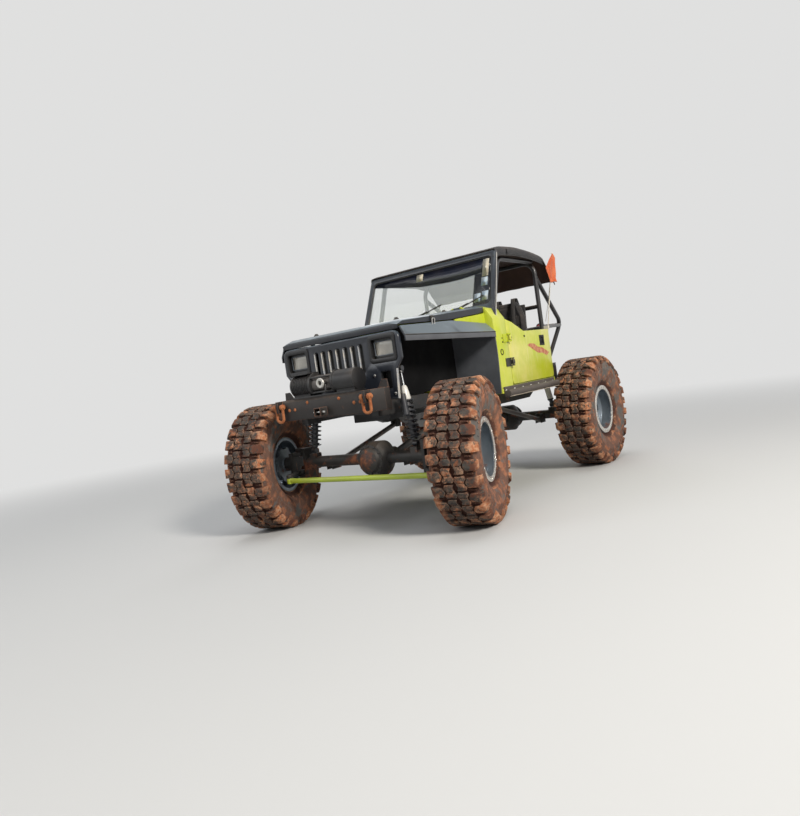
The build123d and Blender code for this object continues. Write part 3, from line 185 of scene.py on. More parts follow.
class Graph:
    """Short calls for building a tree of nodes."""

    def __init__(self, tree: bpy.types.NodeTree) -> None:
        """Start on an emptied tree.

        Args:
            tree: the tree of a material or of Geometry Nodes.
        """
        self.tree = tree
        tree.nodes.clear()

    def node(self, kind: str, inputs: dict[str, object] | None = None, **settings: object) -> bpy.types.Node:
        """Add a node.

        Args:
            kind: the node's type.
            inputs: values or sockets for its inputs, by name or number.
            settings: properties of the node.

        Returns:
            The new node.
        """
        made = self.tree.nodes.new(kind)
        for key, value in settings.items():
            setattr(made, key, value)
        for key, value in (inputs or {}).items():
            if isinstance(value, bpy.types.NodeSocket):
                self.tree.links.new(value, made.inputs[key])
            else:
                made.inputs[key].default_value = value
        return made

    def math(self, operation: str, first: Value, second: Value = 0.0) -> Socket:
        """Result of one sum on two numbers."""
        return self.node("ShaderNodeMath", {0: first, 1: second}, operation=operation).outputs[0]

    def times(self, first: Value, second: Value) -> Socket:
        """Product of two numbers."""
        return self.math("MULTIPLY", first, second)

    def plus(self, first: Value, second: Value, share: Value) -> Socket:
        """First number with a share of the second added."""
        return self.math("ADD", first, self.times(second, share))

    def ramp(self, value: Value, low: float, high: float) -> Socket:
        """Value spread from 0 at low to 1 at high, and held there."""
        inputs = {"Value": value, "From Min": low, "From Max": high}
        return self.node("ShaderNodeMapRange", inputs, clamp=True, interpolation_type="SMOOTHSTEP").outputs["Result"]

    def noise(self, place: Socket, scale: float, detail: float = 3.0, rough: float = 0.55) -> Socket:
        """Cloudy noise from 0 to 1."""
        inputs = {"Vector": place, "Scale": scale, "Detail": detail, "Roughness": rough}
        return self.node("ShaderNodeTexNoise", inputs).outputs["Fac"]

    def mix(self, share: Value, first: Socket | Colour, second: Socket | Colour) -> Socket:
        """Two colours mixed by a share.

        Args:
            share: 0 for the first colour, 1 for the second.
            first: a colour or a socket that gives one.
            second: a colour or a socket that gives one.

        Returns:
            The mixed colour's socket.
        """
        made = self.node("ShaderNodeMix", {0: share}, data_type="RGBA")
        for index, value in ((6, first), (7, second)):
            if isinstance(value, bpy.types.NodeSocket):
                self.tree.links.new(value, made.inputs[index])
            else:
                made.inputs[index].default_value = (*value, 1.0)
        return made.outputs[2]


MUD_DARK: Colour = (0.13, 0.048, 0.028)
MUD_BRIGHT: Colour = (0.46, 0.155, 0.062)
# pale dried mud; on the tyre treads' lug edges it is a painted highlight
PALE_MUD_AND_EDGE_LIGHT: Colour = (0.62, 0.35, 0.21)
# red mud in the tread's grooves, darkened by painted shade
GROOVE_MUD_AND_SHADE: Colour = (0.060, 0.020, 0.012)
DUST: Colour = (0.42, 0.31, 0.22)
RUST: Colour = (0.34, 0.12, 0.045)


@dataclass(frozen=True)
class Finish:
    """One surface finish with its variation, dirt and wear; some add painted sky reflection and edge highlights."""

    name: str
    colour: Colour
    rough: float = 0.5
    metal: float = 0.0
    second: Colour | None = None
    cloud: float = 4.0
    coat: float = 0.0
    specular: float = 0.5
    pattern: Pattern = Pattern.PLAIN
    pattern_scale: float = 400.0
    grain: float = 0.15
    # dust on faces turned up; on the black paints this mask lays a painted reflection of the sky
    dust_and_sky_sheen: float = 0.15
    dust_and_sky_sheen_colour: Colour = DUST
    dust_and_sky_sheen_from: float = -0.25
    dust_and_sky_sheen_even: float = 0.0
    mud: float = 0.0
    mud_top: float = 1.3
    # colour on rounded edges and in patches: wear, and on the tyre tread a painted highlight on the lug edges
    wear_and_edge_light: Colour | None = None
    wear_and_edge_light_share: float = 0.5
    edge: float = 0.0025
    alpha: float = 1.0
    sheen: float = 0.0
    streaks: float = 0.0

    def material(self) -> bpy.types.Material:
        """Material of this finish, made once and then shared.

        Returns:
            The material.
        """
        found = bpy.data.materials.get(self.name)
        if found:
            return found
        made = bpy.data.materials.new(self.name)
        made.use_nodes = True
        graph = Graph(made.node_tree)
        place = graph.node("ShaderNodeTexCoord").outputs["Object"]
        normal = graph.node("ShaderNodeNewGeometry").outputs["Normal"]
        rounded = graph.node("ShaderNodeBevel", {"Radius": self.edge}, samples=4).outputs["Normal"]
        colour, height = self.ground(graph, place)
        rough: Value = self.rough
        metal: Value = self.metal
        # edge wear and pale patches; on the tyre tread the pale edges are a painted highlight
        if self.wear_and_edge_light is not None:
            dot = graph.node("ShaderNodeVectorMath", {0: normal, 1: rounded}, operation="DOT_PRODUCT").outputs["Value"]
            bent = graph.ramp(graph.math("SUBTRACT", 1.0, dot), 0.006, 0.10)
            edge_spots = graph.ramp(graph.noise(place, 38.0, 5.0, 0.7), 0.62 - 0.35 * self.wear_and_edge_light_share, 0.70)
            patches = graph.ramp(graph.noise(place, 9.0, 5.0, 0.75), 0.76 - 0.20 * self.wear_and_edge_light_share, 0.82)
            worn_and_edge_lit = graph.math("MAXIMUM", graph.times(bent, edge_spots), patches)
            colour = graph.mix(worn_and_edge_lit, colour, self.wear_and_edge_light)
            rough = graph.math("MAXIMUM", graph.times(worn_and_edge_lit, 0.75), self.rough)
        upward = graph.node("ShaderNodeSeparateXYZ", {0: normal}).outputs["Z"]
        # dust on faces turned up; on the black, fender, lip and grille paints its blue-grey is a painted reflection of
        # the sky
        if self.dust_and_sky_sheen:
            facing = graph.ramp(upward, self.dust_and_sky_sheen_from, 0.95)
            patchy = graph.ramp(graph.noise(place, 6.0, 5.0, 0.65), 0.30, 0.72)
            settled = graph.times(facing, graph.math("MAXIMUM", patchy, self.dust_and_sky_sheen_even))
            settled = graph.times(settled, self.dust_and_sky_sheen)
            colour = graph.mix(settled, colour, self.dust_and_sky_sheen_colour)
        if self.mud:
            colour, rough, metal, height = self.splash(graph, place, colour, rough, height)
        bump = graph.node("ShaderNodeBump", {"Strength": 0.55, "Distance": 0.004, "Height": height, "Normal": rounded})
        shader = graph.node("ShaderNodeBsdfPrincipled", {
            "Base Color": colour, "Normal": bump.outputs["Normal"], "Roughness": rough, "Metallic": metal,
            "Specular IOR Level": self.specular, "Coat Weight": self.coat, "Coat Roughness": 0.12,
            "Sheen Weight": self.sheen, "Alpha": self.alpha})
        graph.node("ShaderNodeOutputMaterial", {"Surface": shader.outputs["BSDF"]})
        made.diffuse_color = (*self.colour, 1.0)
        return made

    def ground(self, graph: Graph, place: Socket) -> tuple[Socket, Socket]:
        """Base colour and relief before dirt.

        Args:
            graph: the material's nodes.
            place: object coordinates.

        Returns:
            Colour and height sockets.
        """
        clouds = graph.ramp(graph.noise(place, self.cloud, 5.0, 0.6), 0.34, 0.66)
        second = self.second or tuple(min(1.0, c * 1.25 + 0.004) for c in self.colour)
        colour = graph.mix(clouds, self.colour, second)
        fine = graph.noise(place, 220.0, 3.0)
        height = graph.times(fine, self.grain)
        if self.pattern is Pattern.WEAVE:
            turned = graph.node("ShaderNodeMapping", {"Vector": place, "Rotation": (0.35, 0.25, 0.785)})
            waves = [graph.node("ShaderNodeTexWave", {"Vector": turned.outputs[0], "Scale": self.pattern_scale / 8,
                                                      "Distortion": 0.6},
                                bands_direction=way).outputs["Fac"] for way in ("X", "Y")]
            weave = graph.times(waves[0], waves[1])
            colour = graph.mix(graph.times(weave, 0.5), colour, tuple(c * 1.8 + 0.012 for c in self.colour))
            height = graph.plus(height, weave, 0.25)
        elif self.pattern is Pattern.BRUSHED:
            drawn = graph.node("ShaderNodeMapping", {"Vector": place, "Scale": (1.0, 14.0, 1.0)}).outputs[0]
            lines = graph.noise(drawn, 60.0, 4.0, 0.7)
            colour = graph.mix(graph.times(lines, 0.5), colour, tuple(c * 0.62 for c in self.colour))
            height = graph.plus(height, lines, 0.06)
        elif self.pattern is Pattern.CAST:
            cells = graph.node("ShaderNodeTexVoronoi", {"Vector": place, "Scale": 160.0}).outputs["Distance"]
            height = graph.plus(height, cells, 0.35)
        elif self.pattern is Pattern.RIBBED:
            ribs = graph.node("ShaderNodeTexWave", {"Vector": place, "Scale": self.pattern_scale / 8},
                              bands_direction="X").outputs["Fac"]
            height = graph.plus(height, ribs, 0.8)
        elif self.pattern is Pattern.TREAD:
            colour = self.tread(graph, place, colour)
            height = graph.plus(height, graph.noise(place, 38.0, 5.0, 0.7), 2.6)
        if self.streaks:
            drawn = graph.node("ShaderNodeMapping", {"Vector": place, "Scale": (9.0, 9.0, 0.9)}).outputs[0]
            runs = graph.ramp(graph.noise(drawn, 4.0, 4.0, 0.6), 0.50, 0.74)
            colour = graph.mix(graph.times(runs, self.streaks), colour, self.dust_and_sky_sheen_colour)
        return colour, height

    def tread(self, graph: Graph, place: Socket, colour: Socket) -> Socket:
        """Dark lug tops with thin mud, thick mud on the shoulders and red grooves with painted shade.

        Args:
            graph: the material's nodes.
            place: object coordinates.
            colour: colour of the clean rubber.

        Returns:
            The muddy rubber's colour.
        """
        rise = graph.node("ShaderNodeAttribute", attribute_name="rise").outputs["Fac"]
        shoulder = graph.node("ShaderNodeAttribute", attribute_name="shoulder").outputs["Fac"]
        clots = graph.noise(place, 17.0, 6.0, 0.66)
        tone = graph.mix(graph.ramp(graph.noise(place, 40.0, 5.0, 0.65), 0.38, 0.64), MUD_BRIGHT, PALE_MUD_AND_EDGE_LIGHT)
        mud = graph.mix(graph.ramp(graph.noise(place, 8.0, 4.0), 0.36, 0.62), MUD_DARK, tone)
        film = graph.ramp(graph.noise(place, 70.0, 4.0, 0.7), 0.40, 0.62)
        colour = graph.mix(graph.times(film, 0.34), colour, mud)
        cover = graph.plus(clots, shoulder, 0.13)
        colour = graph.mix(graph.ramp(cover, 0.52, 0.60), colour, mud)
        # the grooves darken towards their floor: red mud with painted shade
        groove_shade = graph.ramp(graph.plus(rise, clots, 0.5), 1.12, 0.72)
        return graph.mix(groove_shade, colour, GROOVE_MUD_AND_SHADE)

    def splash(self, graph: Graph, place: Socket, colour: Socket, rough: Value,
               height: Socket) -> tuple[Socket, Socket, Socket, Socket]:
        """Red-brown mud, thicker lower down.

        Args:
            graph: the material's nodes.
            place: object coordinates.
            colour: colour under the mud.
            rough: roughness under the mud.
            height: relief under the mud.

        Returns:
            Colour, roughness, metal share and relief with the mud on.
        """
        above = graph.node("ShaderNodeSeparateXYZ", {0: place}).outputs["Z"]
        low = graph.math("SUBTRACT", 1.0, graph.ramp(above, 0.0, self.mud_top))
        cover = graph.plus(graph.noise(place, 7.0, 7.0, 0.68), low, 0.22)
        start = 0.86 - 0.52 * self.mud
        share = graph.ramp(cover, start, start + 0.10)
        share = graph.times(share, min(1.0, 0.55 + 0.5 * self.mud))
        tone = graph.ramp(graph.noise(place, 16.0, 6.0, 0.62), 0.44, 0.68)
        mud = graph.mix(tone, MUD_DARK, MUD_BRIGHT)
        clods = graph.noise(place, 55.0, 5.0, 0.7)
        height = graph.plus(height, graph.times(clods, share), 1.4)
        dull = graph.math("MAXIMUM", graph.times(share, 0.88), rough)
        metal = graph.times(graph.math("SUBTRACT", 1.0, share), self.metal)
        return graph.mix(share, colour, mud), dull, metal, height


# painted reflection of the sky: the blue-grey that the black paints take on faces turned up
PAINTED_SKY_REFLECTION: Colour = (0.23, 0.295, 0.345)
# black paint; the blue-grey on its upward faces is a painted reflection of the sky
BLACK_PAINT = Finish("black_paint", (0.010, 0.012, 0.018), 0.34, coat=0.25, second=(0.016, 0.019, 0.027), dust_and_sky_sheen=0.95,
                     dust_and_sky_sheen_colour=PAINTED_SKY_REFLECTION, dust_and_sky_sheen_from=0.30, dust_and_sky_sheen_even=0.6, wear_and_edge_light=(0.12, 0.12, 0.12), wear_and_edge_light_share=0.12,
                     edge=0.006, streaks=0.03)
# fender paint; its blue-grey on faces turned up and to the sides is a painted reflection of the sky, and the mud low
# down is real
FENDER_PAINT = Finish("fender_paint", (0.016, 0.019, 0.026), 0.36, coat=0.25, dust_and_sky_sheen=0.85,
                      dust_and_sky_sheen_colour=(0.25, 0.31, 0.355), dust_and_sky_sheen_from=-0.15, dust_and_sky_sheen_even=0.85, mud=0.06, mud_top=1.4,
                      edge=0.009)
# painted shade: near black for the wheel wells and the undersides of the fenders and hood, with real mud low down
PAINTED_WELL_SHADE = Finish("well_black", (0.004, 0.004, 0.0045), 0.92, specular=0.2, dust_and_sky_sheen=0.0, mud=0.20, mud_top=1.3)
LEG_GREY = Finish("leg_grey", (0.075, 0.082, 0.094), 0.6, dust_and_sky_sheen=0.2, mud=0.22, mud_top=1.3)
# fender lip; its blue-grey on faces turned up is a painted reflection of the sky
LIP_GREY = Finish("lip_grey", (0.085, 0.088, 0.098), 0.45, coat=0.2, dust_and_sky_sheen=0.3, dust_and_sky_sheen_colour=PAINTED_SKY_REFLECTION)
# painted highlight: pale cream for the lit side walls of the grille's slots and its lower outer edges
PAINTED_SLOT_HIGHLIGHT = Finish("slot_edge", (0.52, 0.55, 0.60), 0.35, coat=0.3, second=(0.78, 0.73, 0.64), cloud=14.0, dust_and_sky_sheen=0.2)
LINER = Finish("liner", (0.030, 0.030, 0.031), 0.85, grain=0.9, dust_and_sky_sheen=0.5)
# grille paint; its blue-grey on faces turned up is a painted reflection of the sky, while the mud and edge wear are
# real
GRILLE_PAINT = Finish("grille_paint", (0.020, 0.024, 0.034), 0.30, coat=0.35, dust_and_sky_sheen=0.8, dust_and_sky_sheen_colour=PAINTED_SKY_REFLECTION,
                      dust_and_sky_sheen_from=0.25, mud=0.10, mud_top=1.4, wear_and_edge_light=(0.25, 0.24, 0.22), wear_and_edge_light_share=0.25, edge=0.004)
LIME_PAINT = Finish("lime_paint", (0.52, 0.60, 0.010), 0.34, coat=0.2, second=(0.66, 0.69, 0.085), cloud=2.4,
                    dust_and_sky_sheen=0.35, dust_and_sky_sheen_colour=(0.74, 0.68, 0.33), mud=0.05, mud_top=1.2, edge=0.005, streaks=0.25)
DOOR_PAINT = Finish("door_paint", (0.56, 0.63, 0.020), 0.34, coat=0.2, second=(0.80, 0.75, 0.200), cloud=2.1,
                    dust_and_sky_sheen=0.40, dust_and_sky_sheen_colour=(0.80, 0.74, 0.36), mud=0.05, mud_top=1.2, edge=0.005, streaks=0.45)
FRAME_BLACK = Finish("frame_black", (0.018, 0.018, 0.019), 0.5, dust_and_sky_sheen=0.25, mud=0.42, mud_top=1.1)
SCRAPED_PLATE = Finish("scraped_plate", (0.33, 0.32, 0.31), 0.42, metal=0.85, pattern=Pattern.BRUSHED, mud=0.45,
                       mud_top=1.0)
ENGINE_IRON = Finish("engine_iron", (0.055, 0.056, 0.060), 0.62, metal=0.3, pattern=Pattern.CAST, dust_and_sky_sheen=0.3)
CAST_ALLOY = Finish("cast_alloy", (0.30, 0.30, 0.30), 0.52, metal=0.85, pattern=Pattern.CAST, dust_and_sky_sheen=0.3, mud=0.2)
RADIATOR_BLACK = Finish("radiator_black", (0.015, 0.015, 0.016), 0.5, dust_and_sky_sheen=0.2)
FIN_ALLOY = Finish("fin_alloy", (0.34, 0.33, 0.31), 0.45, metal=0.5, dust_and_sky_sheen=0.4)
BEZEL_BLACK = Finish("bezel_black", (0.008, 0.008, 0.009), 0.38, dust_and_sky_sheen=0.05)
LENS = Finish("lens", (0.78, 0.73, 0.64), 0.14, second=(0.92, 0.87, 0.77), cloud=9.0, coat=1.0, dust_and_sky_sheen=0.15,
              pattern=Pattern.RIBBED, pattern_scale=560.0, edge=0.004)
RED_LENS = Finish("red_lens", (0.42, 0.010, 0.008), 0.15, coat=1.0, dust_and_sky_sheen=0.2, pattern=Pattern.RIBBED)
DASH_PLASTIC = Finish("dash_plastic", (0.022, 0.022, 0.024), 0.55, grain=0.5, dust_and_sky_sheen=0.35)
GRIP_LEATHER = Finish("grip_leather", (0.018, 0.017, 0.017), 0.48, grain=0.7, dust_and_sky_sheen=0.15)
GLASS = Finish("glass", (0.62, 0.68, 0.70), 0.03, alpha=0.16, dust_and_sky_sheen=0.0, grain=0.0, edge=0.001)
SHADE_BAND = Finish("shade_band", (0.008, 0.012, 0.028), 0.12, coat=0.6, alpha=0.93, dust_and_sky_sheen=0.05)
CAGE_PAINT = Finish("cage_paint", (0.016, 0.016, 0.018), 0.32, coat=0.3, dust_and_sky_sheen=0.30, wear_and_edge_light=(0.30, 0.29, 0.28),
                    wear_and_edge_light_share=0.1)
ROOF_CANVAS = Finish("roof_canvas", (0.014, 0.014, 0.017), 0.82, second=(0.022, 0.022, 0.026), sheen=0.15,
                     pattern=Pattern.WEAVE, pattern_scale=2400.0, dust_and_sky_sheen=0.40, dust_and_sky_sheen_colour=(0.20, 0.15, 0.12))
ROOF_LINING = Finish("roof_lining", (0.050, 0.022, 0.014), 0.85, second=(0.075, 0.034, 0.020), sheen=0.15,
                     pattern=Pattern.WEAVE, pattern_scale=2400.0, dust_and_sky_sheen=0.0)
# pale line low on the sliders: dirt, with a painted highlight along the lower tube
SLIDER_DIRT_AND_HIGHLIGHT = Finish("slider_lip", (0.46, 0.39, 0.31), 0.60, second=(0.62, 0.54, 0.44), cloud=14.0, dust_and_sky_sheen=0.2)
SEAT_CLOTH = Finish("seat_cloth", (0.020, 0.020, 0.023), 0.85, sheen=0.3, pattern=Pattern.WEAVE, pattern_scale=1800.0,
                    dust_and_sky_sheen=0.35)
SEAT_VINYL = Finish("seat_vinyl", (0.012, 0.012, 0.013), 0.42, grain=0.5, dust_and_sky_sheen=0.30)
HINGE_STEEL = Finish("hinge_steel", (0.070, 0.068, 0.055), 0.42, metal=0.5, mud=0.10, wear_and_edge_light=(0.40, 0.38, 0.34))
BUMPER_BLACK = Finish("bumper_black", (0.014, 0.011, 0.010), 0.60, dust_and_sky_sheen=0.16, mud=0.22, mud_top=1.4, wear_and_edge_light=RUST,
                      wear_and_edge_light_share=0.75, edge=0.007)
WINCH_BLACK = Finish("winch_black", (0.012, 0.012, 0.013), 0.45, coat=0.1, dust_and_sky_sheen=0.16, mud=0.1, mud_top=1.6,
                     wear_and_edge_light=(0.20, 0.19, 0.18), wear_and_edge_light_share=0.3)
RUSTY_IRON = Finish("rusty_iron", (0.40, 0.115, 0.040), 0.82, second=(0.52, 0.20, 0.08), cloud=30.0,
                    pattern=Pattern.CAST, dust_and_sky_sheen=0.15)
SLIDER_GREY = Finish("slider_grey", (0.085, 0.072, 0.064), 0.65, metal=0.2, dust_and_sky_sheen=0.10, mud=0.36, mud_top=1.1,
                     wear_and_edge_light=(0.5, 0.48, 0.45), wear_and_edge_light_share=0.6)
AXLE_IRON = Finish("axle_iron", (0.022, 0.021, 0.021), 0.55, pattern=Pattern.CAST, dust_and_sky_sheen=0.2, mud=0.50, mud_top=0.9)
LINK_STEEL = Finish("link_steel", (0.13, 0.12, 0.115), 0.5, metal=0.6, dust_and_sky_sheen=0.3, mud=0.40, mud_top=1.0)
SHOCK_WHITE = Finish("shock_white", (0.80, 0.78, 0.73), 0.35, coat=0.3, dust_and_sky_sheen=0.1, mud=0.05, mud_top=1.1)
SPRING_DARK = Finish("spring_dark", (0.030, 0.034, 0.042), 0.40, coat=0.2, dust_and_sky_sheen=0.3, mud=0.22, mud_top=1.1)
CHROME_ROD = Finish("chrome_rod", (0.82, 0.82, 0.82), 0.14, metal=1.0, dust_and_sky_sheen=0.1, grain=0.0)
SHAFT_STEEL = Finish("shaft_steel", (0.09, 0.088, 0.085), 0.5, metal=0.7, mud=0.45, mud_top=1.0)
KNUCKLE_IRON = Finish("knuckle_iron", (0.034, 0.033, 0.032), 0.55, metal=0.2, pattern=Pattern.CAST, mud=0.40,
                      mud_top=1.0)
LIME_ROD = Finish("lime_rod", (0.40, 0.50, 0.035), 0.38, coat=0.25, dust_and_sky_sheen=0.35, mud=0.20, mud_top=0.8,
                  wear_and_edge_light=(0.20, 0.19, 0.15), wear_and_edge_light_share=0.3)
# tyre tread: the pale rims of its lugs are a painted highlight, with pale mud patches, and its grooves carry painted
# shade
TYRE_MUD = Finish("tyre_mud", (0.026, 0.028, 0.027), 0.90, second=(0.080, 0.076, 0.066), cloud=26.0, grain=0.9,
                  pattern=Pattern.TREAD, dust_and_sky_sheen=0.0, wear_and_edge_light=PALE_MUD_AND_EDGE_LIGHT, wear_and_edge_light_share=0.95, edge=0.005)
SIDEWALL_MUD = Finish("sidewall_mud", (0.12, 0.112, 0.105), 0.88, second=(0.30, 0.25, 0.205), cloud=7.0, grain=0.6,
                      dust_and_sky_sheen=0.0, mud=0.50, mud_top=2.6, wear_and_edge_light=PALE_MUD_AND_EDGE_LIGHT, wear_and_edge_light_share=0.6)
# alloy with a dark blue-grey tint: painted shade and sky reflection in the wheel's dish
RIM_ALLOY_WITH_SKY_SHADE = Finish("rim_alloy", (0.22, 0.255, 0.29), 0.36, metal=0.70, dust_and_sky_sheen=0.20, mud=0.30, mud_top=1.3)
BRIGHT_ALLOY = Finish("bright_alloy", (0.72, 0.69, 0.64), 0.26, metal=0.85, pattern=Pattern.BRUSHED, dust_and_sky_sheen=0.05,
                      mud=0.10, mud_top=1.2)
BOLT_STEEL = Finish("bolt_steel", (0.55, 0.54, 0.52), 0.32, metal=0.9, dust_and_sky_sheen=0.15)
DARK_BOLT = Finish("dark_bolt", (0.05, 0.05, 0.05), 0.4, metal=0.7, dust_and_sky_sheen=0.15)
CELL_ALLOY = Finish("cell_alloy", (0.42, 0.42, 0.42), 0.38, metal=0.9, pattern=Pattern.BRUSHED, dust_and_sky_sheen=0.25)
FLAG_ORANGE = Finish("flag_orange", (0.62, 0.100, 0.022), 0.75, second=(0.74, 0.20, 0.075), cloud=9.0, sheen=0.2,
                     pattern=Pattern.WEAVE, pattern_scale=2400.0, dust_and_sky_sheen=0.0)
POLE_FIBRE = Finish("pole_fibre", (0.62, 0.58, 0.50), 0.4, dust_and_sky_sheen=0.1)
STICKER_CREAM = Finish("sticker_cream", (0.74, 0.66, 0.50), 0.4, second=(0.80, 0.75, 0.62), cloud=25.0, dust_and_sky_sheen=0.0)
STICKER_BLUE = Finish("sticker_blue", (0.42, 0.58, 0.72), 0.4, second=(0.66, 0.72, 0.74), cloud=28.0, dust_and_sky_sheen=0.0)
FLASH_RED = Finish("flash_red", (0.50, 0.105, 0.050), 0.45, second=(0.66, 0.34, 0.17), cloud=32.0, dust_and_sky_sheen=0.15)
# painted shade: a dark see-through film on the windscreen's left side for the shaded cab behind the glass
CAB_SHADE_FILM = Finish("smoke_tint", (0.008, 0.012, 0.024), 0.12, coat=0.5, alpha=0.72, dust_and_sky_sheen=0.05)
RING_STEEL = Finish("ring_steel", (0.46, 0.45, 0.42), 0.45, metal=0.5, dust_and_sky_sheen=0.2, wear_and_edge_light=(0.20, 0.12, 0.08))
# near black: the black handles, buttons and rings, and painted shade in the cowl's holes and vent slots
BLACK_AND_HOLE_SHADE = Finish("hole_dark", (0.010, 0.010, 0.010), 0.7, dust_and_sky_sheen=0.0)
HOSE_RUBBER = Finish("hose_rubber", (0.014, 0.014, 0.014), 0.6, dust_and_sky_sheen=0.3, grain=0.4)
DIAL_WHITE = Finish("dial_white", (0.75, 0.75, 0.72), 0.5, dust_and_sky_sheen=0.0)
DIAL_BLACK = Finish("dial_black", (0.008, 0.008, 0.008), 0.5, dust_and_sky_sheen=0.0)
WEBBING = Finish("webbing", (0.022, 0.022, 0.024), 0.8, pattern=Pattern.WEAVE, pattern_scale=2000.0, sheen=0.2)
MAT_RUBBER = Finish("mat_rubber", (0.020, 0.020, 0.020), 0.75, grain=0.5, dust_and_sky_sheen=0.5, mud=0.2, mud_top=1.5)


def arc_path(points: Sequence[Triple], bend: float, steps: int = 6) -> list[Vector]:
    """Line through the points with each corner rounded.

    Args:
        points: the corners.
        bend: the radius at the corners.
        steps: parts of each arc.

    Returns:
        The points of the rounded line.
    """
    line = [Vector(point) for point in points]
    path = [line[0]]
    for before, corner, after in zip(line, line[1:], line[2:]):
        first, last = (before - corner).normalized(), (after - corner).normalized()
        half = first.angle(last) / 2
        reach = min(bend / max(math.tan(half), 1e-3), 0.49 * (before - corner).length, 0.49 * (after - corner).length)
        radius = reach * math.tan(half)
        if math.pi / 2 - half < 0.02:
            path.append(corner)
            continue
        centre = corner + (first + last).normalized() * (radius / math.sin(half))
        start, end = corner + first * reach - centre, corner + last * reach - centre
        turn = start.rotation_difference(end)
        for step in range(steps + 1):
            part = Quaternion().slerp(turn, step / steps) if step < steps else turn
            path.append(centre + part @ start)
    path.append(line[-1])
    return path


